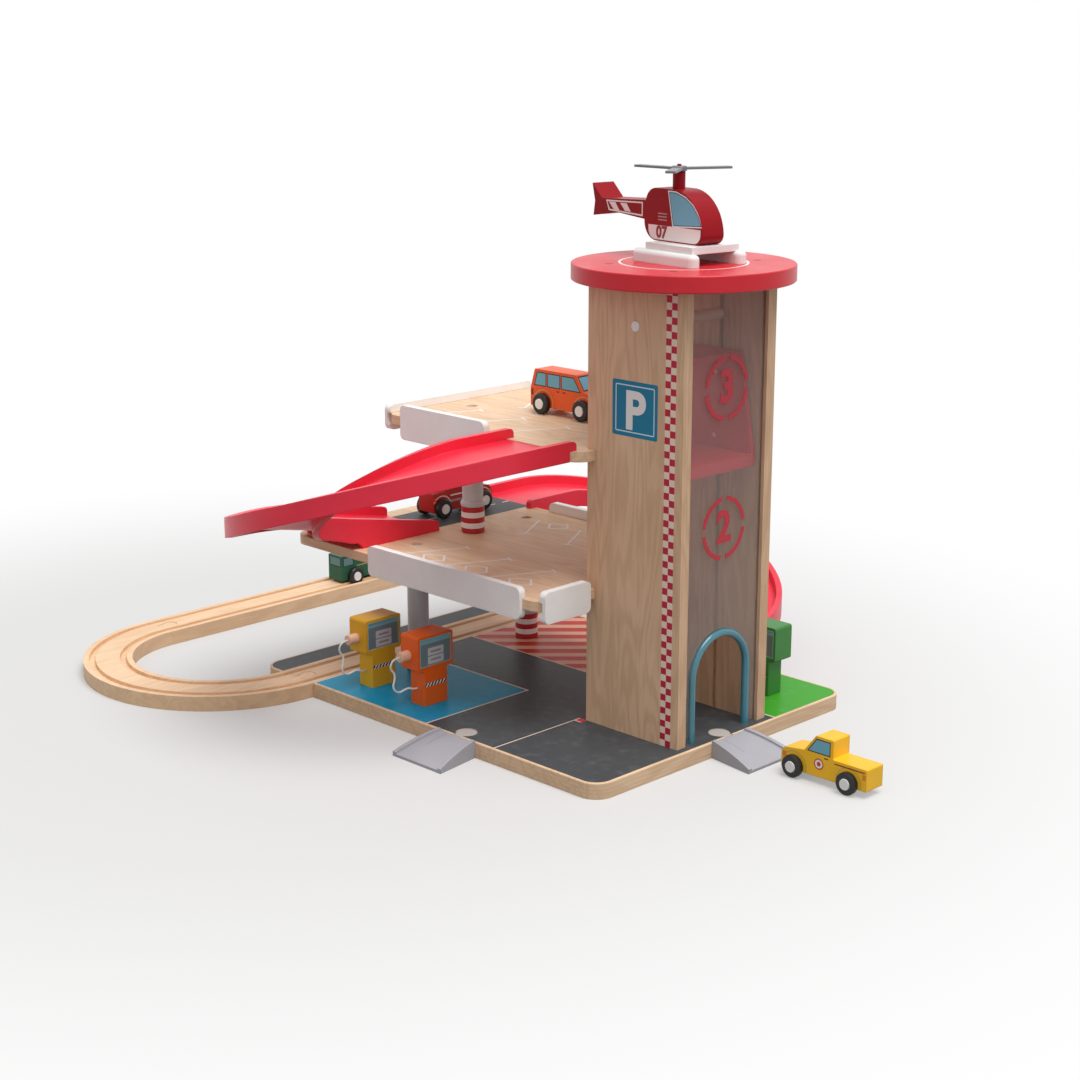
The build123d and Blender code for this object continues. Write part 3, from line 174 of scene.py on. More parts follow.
class Ink:
    """One material being made, with its place on the object in board millimetres."""

    def __init__(self, name: str) -> None:
        """Start an empty material with this name."""
        self.material = bpy.data.materials.new(name)
        self.material.use_nodes = True
        self.tree = self.material.node_tree
        self.tree.nodes.clear()
        self.coords = self.node("TexCoord")
        spread = self.vector("MULTIPLY", self.coords.outputs["Object"], (MM, MM, MM))
        self.place = self.vector("ADD", spread, tuple(CORNER))
        self.x, self.y, self.z = self.split(self.place)
        self.nx, self.ny, self.nz = self.split(self.coords.outputs["Normal"])
        self.colour: bpy.types.NodeSocket | None = None
        self.plain: Colour = (0.5, 0.5, 0.5)
        self.rough: Value | float = 0.45
        self.height: Value | None = None

    def node(self, kind: str, inputs: dict | None = None, **settings: object) -> bpy.types.Node:
        """Add a node to this material, as add_node does."""
        return add_node(self.tree, kind, inputs, **settings)

    def vector(self, operation: str, source: bpy.types.NodeSocket,
               other: Triple) -> bpy.types.NodeSocket:
        """Change a vector by a constant one.

        Args:
            operation: The Vector Math node's operation.
            source: The vector to change.
            other: The constant vector.

        Returns:
            The output that carries the result.
        """
        node = self.node("VectorMath", {0: source, 1: other}, operation=operation)
        return node.outputs["Value" if operation == "DOT_PRODUCT" else "Vector"]

    def split(self, source: bpy.types.NodeSocket) -> tuple[Value, Value, Value]:
        """Take a vector apart into its three numbers."""
        return tuple(Value(self, output) for output in self.node("SeparateXYZ", {0: source}).outputs)

    def along(self, direction: Triple, start: Triple = (0.0, 0.0, 0.0)) -> Value:
        """Measure the distance along a direction.

        Args:
            direction: A unit vector.
            start: The point in board millimetres where the measure reads zero.

        Returns:
            The distance in millimetres.
        """
        reading = Value(self, self.vector("DOT_PRODUCT", self.place, direction))
        return reading - Vector(direction).dot(Vector(start))

    def looking(self, direction: Triple) -> Value:
        """Give how far the surface looks along a direction, from -1 to 1."""
        return Value(self, self.vector("DOT_PRODUCT", self.coords.outputs["Normal"], direction))

    def noise(self, size: Triple, detail: float = 3.0, twist: float = 0.0, shift: float = 0.0) -> Value:
        """Cloudy variation with its own size along each axis.

        Args:
            size: The features' size along X, Y and Z in millimetres.
            detail: How many finer octaves are added.
            twist: Distortion of the cloud.
            shift: Offset that makes one piece differ from the next.

        Returns:
            A number that varies around one half.
        """
        moved = self.vector("ADD", self.place, (shift, 0.6 * shift, 0.3 * shift))
        scaled = self.vector("MULTIPLY", moved, tuple(1.0 / side for side in size))
        node = self.node("TexNoise", {"Vector": scaled, "Scale": 1.0, "Detail": detail,
                                      "Distortion": twist})
        return Value(self, node.outputs[0])

    def fine(self, size: float, detail: float = 1.0, shift: float = 0.0) -> Value:
        """Cloudy variation of one size all ways, in millimetres."""
        return self.noise((size, size, size), detail, 0.0, shift)

    def laid(self) -> "bpy.types.NodeSocket | tuple[float, ...]":
        """Give the colour so far."""
        return (*self.plain, 1.0) if self.colour is None else self.colour

    def blend(self, amount: "Value | float", colour: Colour, how: str = "MIX") -> None:
        """Lay a colour over what is there.

        Args:
            amount: How much of it shows, from 0 to 1.
            colour: The linear colour to lay on.
            how: The Mix node's way of joining the two.
        """
        self.colour = self.node("Mix", {0: amount, 6: self.laid(), 7: (*colour, 1.0)},
                                data_type="RGBA", blend_type=how).outputs[2]

    def shade(self, amount: Value, factor: float) -> None:
        """Multiply what is there by a factor where the amount is 1."""
        self.blend(amount, (factor, factor, factor), "MULTIPLY")

    def raise_by(self, height: Value, amount: float) -> None:
        """Add to the bump's height, in millimetres."""
        lifted = height * amount
        self.height = lifted if self.height is None else self.height + lifted

    def close(self, gloss: float = 0.5, coat: float = 0.0, soften: float = 0.5,
              clear: float = 0.0) -> bpy.types.Material:
        """Join everything into the surface shader.

        Args:
            gloss: Specular level.
            coat: Weight of a clear lacquer layer.
            soften: Radius in millimetres that rounds sharp edges in the light.
            clear: Share of the light that goes straight through.

        Returns:
            The finished material.
        """
        shader = self.node("BsdfPrincipled", {
            "Base Color": self.laid(), "Roughness": self.rough, "Specular IOR Level": gloss,
            "Coat Weight": coat, "Coat Roughness": LACQUER_ROUGHNESS,
        })
        normal = {}
        if soften > 0:
            bevel = self.node("Bevel", {"Radius": soften / MM}, samples=3)
            normal = {"Normal": bevel.outputs["Normal"]}
        if self.height is not None:
            bump = self.node("Bump", {"Distance": 1.0 / MM, "Strength": 1.0, "Height": self.height,
                                      **normal})
            normal = {"Normal": bump.outputs["Normal"]}
        for place, source in normal.items():
            self.tree.links.new(source, shader.inputs[place])
        surface = shader.outputs[0]
        if clear > 0:
            through = self.node("BsdfTransparent", {0: CLEAR_TINT})
            surface = self.node("MixShader", {0: clear, 1: surface, 2: through.outputs[0]}).outputs[0]
        self.node("OutputMaterial", {"Surface": surface})
        return self.material


# ---------------------------------------------------------------- printed marks
@dataclass(frozen=True)
class Face:
    """A flat side that marks are printed on, read left to right along u and upwards along v."""

    origin: Triple
    u: Triple
    v: Triple
    normal: Triple
    both: bool = False

    @classmethod
    def top(cls, height: float) -> "Face":
        """Give the upper side at a height, read from the board's corner."""
        return cls((0.0, 0.0, height), RIGHT, BACK, UP)

    def read(self, ink: Ink) -> tuple[Value, Value, Value]:
        """Measure a point on the face.

        Args:
            ink: The material that is printed.

        Returns:
            The two distances in millimetres and 1 where the surface looks this way.
        """
        towards = ink.looking(self.normal)
        if self.both:
            towards = towards.size()
        return ink.along(self.u, self.origin), ink.along(self.v, self.origin), towards.above(0.75)


class Mark:
    """Something printed in one colour."""

    colour: Colour

    def mask(self, u: Value, v: Value) -> Value:
        """Give 1 where the mark is."""
        raise NotImplementedError


@dataclass(frozen=True)
class Bar(Mark):
    """A rectangle with sharp corners."""

    colour: Colour
    low: Pair
    high: Pair

    def mask(self, u: Value, v: Value) -> Value:
        """Give 1 inside the rectangle."""
        return u.between(self.low[0], self.high[0]) * v.between(self.low[1], self.high[1])


@dataclass(frozen=True)
class Tablet(Bar):
    """A rectangle with rounded corners, or its outline where line is above zero."""

    corner: float = 2.0
    line: float = 0.0

    def distance(self, u: Value, v: Value) -> Value:
        """Measure from the inner rectangle that the corners are struck from."""
        sides = []
        for reading, low, high in ((u, self.low[0], self.high[0]), (v, self.low[1], self.high[1])):
            away = (reading - (low + high) / 2).size()
            sides.append((away - ((high - low) / 2 - self.corner)).calc("MAXIMUM", 0.0))
        return sides[0].hypot(sides[1])

    def mask(self, u: Value, v: Value) -> Value:
        """Give 1 inside the tablet, or on its outline."""
        away = self.distance(u, v)
        if self.line > 0:
            return away.between(self.corner - self.line, self.corner)
        return away.below(self.corner)


@dataclass(frozen=True)
class Stroke(Mark):
    """A straight line of some width."""

    colour: Colour
    start: Pair
    end: Pair
    width: float = 1.2

    def mask(self, u: Value, v: Value) -> Value:
        """Give 1 on the line."""
        run = Vector(self.end) - Vector(self.start)
        length = run.length
        run = run / length
        first = u * run.x + v * run.y - run.dot(Vector(self.start))
        second = u * run.y - v * run.x - (self.start[0] * run.y - self.start[1] * run.x)
        return first.between(0.0, length) * second.near(0.0, self.width / 2)


@dataclass(frozen=True)
class Ring(Mark):
    """A ring, or a disc where the inner radius is zero."""

    colour: Colour
    centre: Pair
    outer: float
    inner: float = 0.0

    def mask(self, u: Value, v: Value) -> Value:
        """Give 1 on the ring."""
        away = (u - self.centre[0]).hypot(v - self.centre[1])
        return away.between(self.inner, self.outer) if self.inner else away.below(self.outer)


@dataclass(frozen=True)
class Patch(Mark):
    """A convex shape given by its corners, grown outwards by some millimetres."""

    colour: Colour
    corners: tuple[Pair, ...]
    grow: float = 0.0

    def mask(self, u: Value, v: Value) -> Value:
        """Give 1 inside the shape."""
        turn = 0.0
        ring = [Vector(corner) for corner in self.corners]
        for here, after in zip(ring, ring[1:] + ring[:1]):
            turn += here.x * after.y - here.y * after.x
        side = 1.0 if turn > 0 else -1.0
        worst: Value | None = None
        for here, after in zip(ring, ring[1:] + ring[:1]):
            run = (after - here).normalized() * side
            off = u * run.y - v * run.x - (here.x * run.y - here.y * run.x)
            worst = off if worst is None else worst.calc("MAXIMUM", off)
        return worst.below(self.grow)


@dataclass(frozen=True)
class Stripes(Bar):
    """Slanting stripes inside a rectangle."""

    pitch: float = 10.0
    share: float = 0.5
    slant: float = 0.0

    def mask(self, u: Value, v: Value) -> Value:
        """Give 1 on the stripes."""
        across = u * math.cos(self.slant) + v * math.sin(self.slant)
        turn = ((across * (1.0 / self.pitch)).calc("FRACT") + 1.0).calc("FRACT")
        return super().mask(u, v) * turn.below(self.share)


@dataclass(frozen=True)
class Checks(Bar):
    """A strip of little squares, every other one printed."""

    side: float = 5.0

    def mask(self, u: Value, v: Value) -> Value:
        """Give 1 on every other square."""
        column = ((u - self.low[0]) * (1.0 / self.side)).calc("FLOOR")
        row = ((v - self.low[1]) * (1.0 / self.side)).calc("FLOOR")
        return super().mask(u, v) * (column + row).calc("MODULO", 2.0).above(0.5)


# ---------------------------------------------------------------- finishes
class Axis(Enum):
    """The way that a board's grain runs."""

    X = 0
    Y = 1
    Z = 2


def stretched(axis: Axis, across: float, length: float) -> Triple:
    """Give a feature size that is long along one axis."""
    return tuple(length if axis.value == index else across for index in range(3))


@dataclass(frozen=True)
class Timber:
    """Pale sanded wood with soft growth figure, fine pores and, for plywood, layered edges."""

    pale: Colour = (0.84, 0.610, 0.410)
    dark: Colour = (0.64, 0.405, 0.240)
    grain: Axis = Axis.Y
    ply: Axis | None = Axis.Z
    figure: float = 0.45
    shift: float = 0.0
    layer: float = 1.5
    rings: float = 58.0
    ring_width: float = 26.0
    pore_width: float = 0.7
    fleck_width: float = 1.1
    pore_depth: float = 0.045
    glue_share: float = 0.12

    def spread(self, ink: Ink) -> None:
        """Lay the wood down on a material."""
        ink.plain = self.pale
        body = ink.noise(stretched(self.grain, self.ring_width, 190.0), 2.0, 0.4, self.shift)
        rings = (body * self.rings).calc("SINE").ramp(-0.6, 1.0)
        pores = ink.noise(stretched(self.grain, self.pore_width, 22.0), 2.0, 0.0, self.shift)
        cloud = ink.noise(stretched(self.grain, 34.0, 80.0), 3.0, 0.0, self.shift + 70.0)
        fleck = ink.noise(stretched(self.grain, self.fleck_width, 7.0), 1.0, 0.0, self.shift + 31.0)
        ink.blend(rings * self.figure, self.dark)
        ink.blend(pores.ramp(0.48, 0.80) * 0.55, self.dark)
        ink.blend(cloud.ramp(0.35, 0.75) * 0.30, self.dark)
        ink.shade(fleck.ramp(0.70, 0.80) * 0.7, 0.72)
        if self.ply is not None:
            self.layers(ink)
        ink.rough = pores.ramp(0.2, 0.8) * 0.14 + 0.44
        ink.raise_by(pores, self.pore_depth)

    def layers(self, ink: Ink) -> None:
        """Show the plies on the faces that look sideways out of the sheet."""
        through = (ink.x, ink.y, ink.z)[self.ply.value]
        outward = (ink.nx, ink.ny, ink.nz)[self.ply.value].size()
        edge = outward.below(0.6)
        turn = (through * (1.0 / (2.0 * self.layer))).calc("FRACT")
        ink.blend(edge * turn.below(0.5) * 0.22, self.dark)
        glue = (through * (1.0 / self.layer)).calc("FRACT")
        ink.shade(edge * glue.below(self.glue_share) * 0.35, 0.70)
        ink.raise_by(edge * glue.ramp(0.0, 0.3), 0.03)


@dataclass(frozen=True)
class Paint:
    """Satin paint sprayed on wood: slight orange peel, a hint of grain, paler where it is rubbed."""

    colour: Colour
    worn: Colour = (0.72, 0.52, 0.35)
    rough: float = 0.36
    grain: Axis = Axis.Z
    peel_depth: float = 0.010
    grain_depth: float = 0.018

    def spread(self, ink: Ink) -> None:
        """Lay the paint down on a material."""
        ink.plain = self.colour
        cloud = ink.fine(30.0, 3.0)
        grain = ink.noise(stretched(self.grain, 0.9, 24.0), 2.0)
        peel = ink.fine(0.8, 1.0)
        rub = ink.fine(5.0, 4.0, 12.0)
        ink.shade(cloud.ramp(0.3, 0.8) * 0.5, 0.86)
        ink.shade(grain.ramp(0.5, 0.8) * 0.5, 0.90)
        ink.blend(rub.ramp(0.74, 0.80) * 0.35, self.worn)
        ink.rough = cloud * 0.12 + (self.rough - 0.06) + grain * 0.06
        ink.raise_by(peel, self.peel_depth)
        ink.raise_by(grain, self.grain_depth)


@dataclass(frozen=True)
class Moulded:
    """Moulded plastic with fine grain, faint flow marks and light scuffs."""

    colour: Colour
    rough: float = 0.34
    grit: float = 0.008

    def spread(self, ink: Ink) -> None:
        """Lay the plastic down on a material."""
        ink.plain = self.colour
        flow = ink.noise((60.0, 60.0, 20.0), 2.0, 1.2)
        grit = ink.fine(0.5, 1.0)
        scuff = ink.noise((0.8, 16.0, 3.0), 3.0, 2.0, 40.0)
        ink.shade(flow.ramp(0.3, 0.8) * 0.6, 0.88)
        ink.shade(scuff.ramp(0.66, 0.78) * 0.35, 0.88)
        ink.rough = flow * 0.10 + (self.rough - 0.05) + scuff.ramp(0.6, 0.8) * 0.10
        ink.raise_by(grit, self.grit)


RED = (0.66, 0.022, 0.035)
DARK_RED = (0.46, 0.010, 0.028)
PEACH = (0.80, 0.66, 0.54)
PALE = (0.86, 0.84, 0.82)
ROAD = (0.066, 0.074, 0.080)
SKY = (0.17, 0.42, 0.55)
INK_BLACK = (0.02, 0.02, 0.02)
ORANGE_LAMP = (0.80, 0.22, 0.02)
PINKISH = (0.90, 0.76, 0.74)
BADGE_RED = (0.56, 0.05, 0.03)
MAROON = (0.20, 0.010, 0.012)
RUBBED_WHITE = (0.66, 0.58, 0.48)
RUBBED_RED = (0.70, 0.30, 0.24)


def dress(names: list[str], material: bpy.types.Material) -> None:
    """Give model nodes a material.

    Args:
        names: The nodes' names.
        material: The material for all their slots.
    """
    for name in names:
        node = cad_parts[name]
        if not node.material_slots:
            node.data.materials.append(material)
        for holder in node.material_slots:
            holder.link = "OBJECT"
            holder.material = material
        SHOP.info("dressed %s", name)


def cover(names: list[str], title: str, finish: "Timber | Paint | Moulded",
          prints: tuple[tuple[Face, list[Mark]], ...] = (), gloss: float = 0.28,
          soften: float = 0.5) -> None:
    """Dress model nodes in a finish with marks printed over it.

    Args:
        names: The nodes' names.
        title: The material's name.
        finish: What the surface is made of.
        prints: Faces and what is printed on each, the last on top.
        gloss: Specular level.
        soften: Radius of the softened edges in millimetres.
    """
    ink = Ink(title)
    finish.spread(ink)
    for face, marks in prints:
        u, v, seen = face.read(ink)
        patchy = ink.fine(2.5, 3.0, 5.0)
        cover_up = seen * (patchy.ramp(0.90, 0.60) * 0.06 + 0.94)
        for mark in marks:
            ink.blend(mark.mask(u, v) * cover_up, mark.colour)
    dress(names, ink.close(gloss, 0.0, soften))


def headed(degrees: float) -> tuple[Triple, Triple]:
    """Give the unit vectors ahead and out to the left at a heading."""
    turn = math.radians(degrees)
    return (math.cos(turn), math.sin(turn), 0.0), (-math.sin(turn), math.cos(turn), 0.0)


# ---------------------------------------------------------------- hand work
def placed(name: str, data: bpy.types.ID) -> bpy.types.Object:
    """Put a mesh, curve, lamp or camera into the scene as an object of this name."""
    thing = bpy.data.objects.new(name, data)
    bpy.context.scene.collection.objects.link(thing)
    return thing


def nothing_selected() -> None:
    """Leave edit mode and let go of every object."""
    if bpy.context.object is not None and bpy.context.object.mode != "OBJECT":
        bpy.ops.object.mode_set(mode="OBJECT")
    bpy.ops.object.select_all(action="DESELECT")


def settle(piece: bpy.types.Object, name: str, material: bpy.types.Material) -> bpy.types.Object:
    """Name a finished piece, apply its place to its mesh and give it its material.

    Args:
        piece: The object as modelled.
        name: Its final name.
        material: Its material.

    Returns:
        The same object, standing at the origin.
    """
    nothing_selected()
    piece.name = name
    piece.data.name = name
    piece.select_set(True)
    bpy.context.view_layer.objects.active = piece
    bpy.ops.object.transform_apply(location=True, rotation=True, scale=True)
    piece.data.materials.clear()
    piece.data.materials.append(material)
    SHOP.info("made %s", name)
    return piece


def lettered(words: str, size: float, weight: float, thick: float, place: Matrix) -> bpy.types.Object:
    """Cut plain numerals out of a thin printed layer.

    Args:
        words: What it reads.
        size: Height of the type in millimetres.
        weight: How far the outline grows, in millimetres.
        thick: Thickness of the layer in millimetres.
        place: Where its centre stands, in metres, with Z out of the surface.

    Returns:
        The layer as a mesh, still unnamed.
    """
    nothing_selected()
    bpy.ops.object.text_add(location=(0.0, 0.0, 0.0))
    text = bpy.context.object
    text.data.body = words
    text.data.size = size / MM
    text.data.offset = weight / MM
    text.data.extrude = thick / MM / 2
    text.data.resolution_u = 6
    text.data.align_x = "CENTER"
    text.data.align_y = "CENTER"
    bpy.ops.object.convert(target="MESH")
    text = bpy.context.object
    text.matrix_world = place @ Matrix.Translation((0.0, 0.0, thick / MM / 2))
    return text


def evaluated(piece: bpy.types.Object) -> bpy.types.Mesh:
    """Give a new mesh of an object as it stands now."""
    bpy.context.view_layer.update()
    graph = bpy.context.evaluated_depsgraph_get()
    return bpy.data.meshes.new_from_object(piece.evaluated_get(graph))


def tube(name: str, points: list[Triple], diameter: float, sides: int, material: bpy.types.Material,
         steps: int = 8) -> tuple[bpy.types.Object, list[Vector]]:
    """Run a round tube along a smooth spline.

    Args:
        name: The piece's name.
        points: The route's points in board millimetres.
        diameter: The tube's diameter in millimetres.
        sides: Faces around the tube.
        material: Its material.
        steps: Spline steps between two points.

    Returns:
        The tube as a mesh, and the line that it follows.
    """
    curve = bpy.data.curves.new(name, "CURVE")
    curve.dimensions = "3D"
    curve.resolution_u = steps
    spline = curve.splines.new("NURBS")
    spline.points.add(len(points) - 1)
    for spot, point in zip(points, spline.points):
        point.co = (*metres(spot), 1.0)
    spline.order_u = 3
    spline.use_endpoint_u = True
    route = placed(f"{name}_route", curve)
    path = [vertex.co.copy() for vertex in evaluated(route).vertices]
    curve.bevel_depth = diameter / MM / 2
    curve.bevel_resolution = max(1, sides // 4 - 1)
    curve.use_fill_caps = True
    mesh = evaluated(route)
    mesh.name = name
    bpy.data.objects.remove(route)
    piece = placed(name, mesh)
    for polygon in mesh.polygons:
        polygon.use_smooth = len(polygon.vertices) == 4
    mesh.materials.clear()
    mesh.materials.append(material)
    SHOP.info("ran %s, %d points", name, len(path))
    return piece, path


# ---------------------------------------------------------------- picture
@dataclass
class Studio:
    """Camera, soft light and the pale floor."""

    camera_spot: Triple = (-1.0700, -1.0655, 0.5255)
    camera_dip: float = 14.83
    camera_turn: float = -44.89
    lens: float = 66.48
    film: float = 36.0
    reach: float = 50.0
    key_spot: Triple = (-0.1, -1.4, 3.7)
    key_aim: Triple = (0.0, 0.0, 0.15)
    key_size: float = 2.3
    key_power: float = 118.0
    sky: float = 0.62
    floor_side: float = 40.0
    floor_middle: Triple = (-0.12, 0.12, 0.0)
    floor_shown: Colour = (0.64, 0.637, 0.633)
    floor_bounce: Colour = (0.24, 0.235, 0.23)
    fade_from: Pair = (0.30, 0.22)
    fade_to: Pair = (0.78, 1.0)

    def camera(self) -> None:
        """Stand the camera where the photograph was taken from."""
        data = bpy.data.cameras.new("camera")
        data.lens = self.lens
        data.sensor_width = self.film
        data.clip_end = self.reach
        eye = placed("camera", data)
        eye.location = self.camera_spot
        eye.rotation_euler = (math.radians(90.0 - self.camera_dip), 0.0, math.radians(self.camera_turn))
        bpy.context.scene.camera = eye

    def lights(self) -> None:
        """Hang one large soft lamp high at the front and light the room evenly."""
        data = bpy.data.lights.new("key", "AREA")
        data.shape = "SQUARE"
        data.size = self.key_size
        data.energy = self.key_power
        lamp = placed("key", data)
        lamp.location = self.key_spot
        aim = Vector(self.key_aim) - Vector(self.key_spot)
        lamp.rotation_euler = aim.to_track_quat("-Z", "Y").to_euler()
        world = bpy.data.worlds.new("room")
        world.use_nodes = True
        bpy.context.scene.world = world
        tree = world.node_tree
        back = tree.nodes["Background"]
        back.inputs["Color"].default_value = (1.0, 1.0, 1.0, 1.0)
        strength = add_node(tree, "MapRange", {
            "Value": self.seen_directly(tree), "To Min": self.sky, "To Max": 1.0})
        tree.links.new(strength.outputs["Result"], back.inputs["Strength"])
        bpy.context.scene.view_settings.view_transform = "Standard"

    def seen_directly(self, tree: bpy.types.NodeTree) -> bpy.types.NodeSocket:
        """Tell rays that show the background from those that light the object.

        Args:
            tree: The node tree to add to.

        Returns:
            An output that is 1 for camera, mirror and clear rays.
        """
        path = add_node(tree, "LightPath")
        joined = path.outputs["Is Camera Ray"]
        for name in ("Is Glossy Ray", "Is Transmission Ray"):
            most = add_node(tree, "Math", {0: joined, 1: path.outputs[name]}, operation="MAXIMUM")
            joined = most.outputs[0]
        return joined

    def floor(self) -> None:
        """Lay a wide pale floor that keeps a light shadow and fades to white far away."""
        nothing_selected()
        bpy.ops.mesh.primitive_plane_add(size=self.floor_side, location=self.floor_middle)
        ground = bpy.context.object
        ground.name = "floor"
        material = bpy.data.materials.new("floor")
        material.use_nodes = True
        tree = material.node_tree
        tree.nodes.clear()
        shown = add_node(tree, "BsdfDiffuse", {0: (*self.floor_shown, 1.0)})
        bounce = add_node(tree, "BsdfDiffuse", {0: (*self.floor_bounce, 1.0)})
        coords = add_node(tree, "TexCoord")
        length = add_node(tree, "VectorMath", {0: coords.outputs["Object"]}, operation="LENGTH")
        fade = add_node(tree, "MapRange", {
            "Value": length.outputs["Value"],
            "From Min": self.fade_from[0], "From Max": self.fade_to[0],
            "To Min": self.fade_from[1], "To Max": self.fade_to[1]}, interpolation_type="SMOOTHSTEP")
        lifted = add_node(tree, "MixShader", {
            0: fade.outputs["Result"], 1: shown.outputs[0], 2: add_node(tree, "Emission").outputs[0]})
        chosen = add_node(tree, "MixShader", {
            0: self.seen_directly(tree), 1: bounce.outputs[0], 2: lifted.outputs[0]})
        add_node(tree, "OutputMaterial", {"Surface": chosen.outputs[0]})
        ground.data.materials.append(material)

    def build(self) -> None:
        """Set up the picture."""
        self.camera()
        self.lights()
        self.floor()


# ---------------------------------------------------------------- cords
@dataclass
class Hoses:
    """The limp white hoses from each nozzle's tip down to the pump's side."""

    diameter: float = 1.6
    pump_x: float = 37.0
    board_top: float = 12.0
    fronts: dict[str, float] = field(default_factory=lambda: {"yellow": 266.0, "orange": 205.0})
    route: tuple[Triple, ...] = (
        (-26.65, 12.0, 40.0), (-31.1, 12.0, 40.0), (-34.3, 12.4, 37.0), (-34.5, 13.0, 32.5),
        (-30.7, 12.6, 28.0), (-31.2, 12.2, 23.2), (-33.2, 12.0, 18.7), (-31.6, 11.5, 14.4),
        (-27.5, 10.8, 12.6), (-23.3, 10.0, 14.3), (-19.6, 9.2, 15.0), (-15.8, 8.4, 13.2),
        (-12.0, 8.4, 13.2),
    )

    def rubber(self) -> bpy.types.Material:
        """Soft white tubing with a faint sheen and a little dirt."""
        ink = Ink("hose_tubing")
        ink.plain = (0.82, 0.81, 0.79)
        dust = ink.fine(4.0, 3.0)
        ribs = ink.fine(0.35, 1.0)
        ink.shade(dust.ramp(0.4, 0.8) * 0.6, 0.80)
        ink.rough = dust * 0.15 + 0.36
        ink.raise_by(ribs, 0.02)
        return ink.close(0.5, 0.0, 0.0)

    def build(self) -> None:
        """Run each pump's hose."""
        rubber = self.rubber()
        for colour, front in self.fronts.items():
            spots = [(self.pump_x + x, front + y, self.board_top + z) for x, y, z in self.route]
            hose, path = tube(f"hose_{colour}_tube", spots, self.diameter, 16, rubber)
            length = sum((after - here).length for here, after in zip(path, path[1:]))
            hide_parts(f"hose_{colour}")
            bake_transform(hose)
            SHOP.info("hose_%s is %.1f mm long", colour, MM * length)


@dataclass
class LiftCord:
    """The white cord wound on the roller and hanging down to the lift car."""

    diameter: float = 1.5
    end_x: float = 136.0
    roller: Pair = (52.3, 314.0)
    radius: float = 5.3
    pitch: float = 2.0
    turns: int = 6
    stations: int = 16
    low: float = 293.0
    high: float = 313.95

    def twine(self) -> bpy.types.Material:
        """Twisted white cord, its lay shown by slanting ridges, with painted shade in the grooves
        between them.
        """
        ink = Ink("lift_twine")
        ink.plain = (0.80, 0.79, 0.74)
        slant = ((ink.z + ink.x * 0.7 + ink.y * 0.7) * 5.2).calc("SINE")
        dust = ink.fine(3.0, 3.0)
        # painted shade in the grooves of the lay, where the bump below sinks lowest
        ink.shade(slant.ramp(0.2, -0.9) * 0.8, 0.62)
        ink.shade(dust.ramp(0.4, 0.8) * 0.5, 0.85)
        ink.rough = dust * 0.1 + 0.75
        ink.raise_by(slant, 0.06)
        return ink.close(0.2, 0.0, 0.0)

    def winding_spot(self, station: int) -> Triple:
        """Give a place on the winding, from the end that runs down to the car."""
        angle = 2.0 * math.pi * station / self.stations
        grown = self.radius / math.cos(math.pi / self.stations) ** 2
        x = self.end_x - self.pitch * station / self.stations
        return x, self.roller[0] - grown * math.cos(angle), self.roller[1] + grown * math.sin(angle)

    def build(self) -> None:
        """Wind the cord and hang its end."""
        twine = self.twine()
        spots = [self.winding_spot(station) for station in range(self.turns * self.stations + 1)]
        winding, _ = tube("cord_winding_turns", spots, self.diameter, 12, twine, 3)
        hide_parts("cord_winding")
        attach(winding, "crank")
        y = self.roller[0] - self.radius
        steps = [(self.end_x, y, self.high + (self.low - self.high) * step / 12) for step in range(13)]
        hanging, _ = tube("hoist_cord_fall", steps, self.diameter, 12, twine, 2)
        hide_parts("hoist_cord")
        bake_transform(hanging)


# ---------------------------------------------------------------- base board and track
@dataclass
class BaseBoard:
    """The printed board: road, blue forecourt, hatched crossing, lawn and the bare track leg."""

    width: float = 281.0
    depth: float = 375.0
    rim: float = 2.0
    track: Pair = (309.8, 350.4)

    def prints(self) -> list[Mark]:
        """List what is printed on top, from the bottom layer up."""
        wide, rim = self.width, self.rim
        blue, lawn = (0.001, 0.300, 0.520), (0.050, 0.345, 0.022)
        stripe, ground = (0.56, 0.030, 0.018), (0.80, 0.44, 0.30)
        return [
            Tablet(ROAD, (rim, rim), (wide - rim, self.depth - rim), 13.0),
            Tablet(PEACH, (rim, 176.5), (109.0, self.track[0]), 0.8),
            Tablet(blue, (rim, 178.0), (107.4, self.track[0] - 1.0), 0.8),
            Bar(PEACH, (rim, 103.4), (91.0, 104.6)),
            Bar(PEACH, (172.0, 174.0), (wide - rim, self.track[0])),
            Bar(ground, (173.4, 175.4), (wide - rim, self.track[0] - 1.2)),
            Stripes(stripe, (173.4, 175.4), (wide - rim, self.track[0] - 1.2), 19.7, 0.55,
                    math.radians(45.0)),
            Tablet(PEACH, (195.6, -12.0), (wide + 12.0, 173.4), 14.0),
            Tablet(lawn, (197.0, -12.0), (wide + 12.0, 172.0), 13.0),
            Bar(PEACH, (84.4, 97.0), (91.2, 104.6)),
            Bar(RED, (85.6, 97.0), (91.2, 103.4)),
        ]

    def material(self) -> bpy.types.Material:
        """Make the printed plywood."""
        ink = Ink("board_printed")
        Timber(grain=Axis.X, figure=0.35, shift=11.0).spread(ink)
        u, v, seen = Face.top(0.0).read(ink)
        top = ink.z.above(11.2)
        inside = Tablet(PALE, (self.rim, self.rim), (self.width - self.rim, self.depth - self.rim),
                        13.0).mask(u, v)
        channel = v.between(*self.track) * -1.0 + 1.0
        dust = ink.fine(9.0, 4.0)
        speck = ink.fine(0.9, 2.0)
        cover = seen * top * inside * channel
        for mark in self.prints():
            ink.blend(mark.mask(u, v) * cover, mark.colour)
        ink.blend(cover * dust.ramp(0.45, 0.85) * 0.05, (0.9, 0.9, 0.9))
        ink.shade(cover * speck.ramp(0.5, 0.9) * 0.4, 0.85)
        ink.rough = cover * (dust * 0.12 - 0.14) + 0.50
        return ink.close(0.10, 0.0, 0.5)

    def build(self) -> None:
        """Dress the board."""
        dress(["base_board"], self.material())


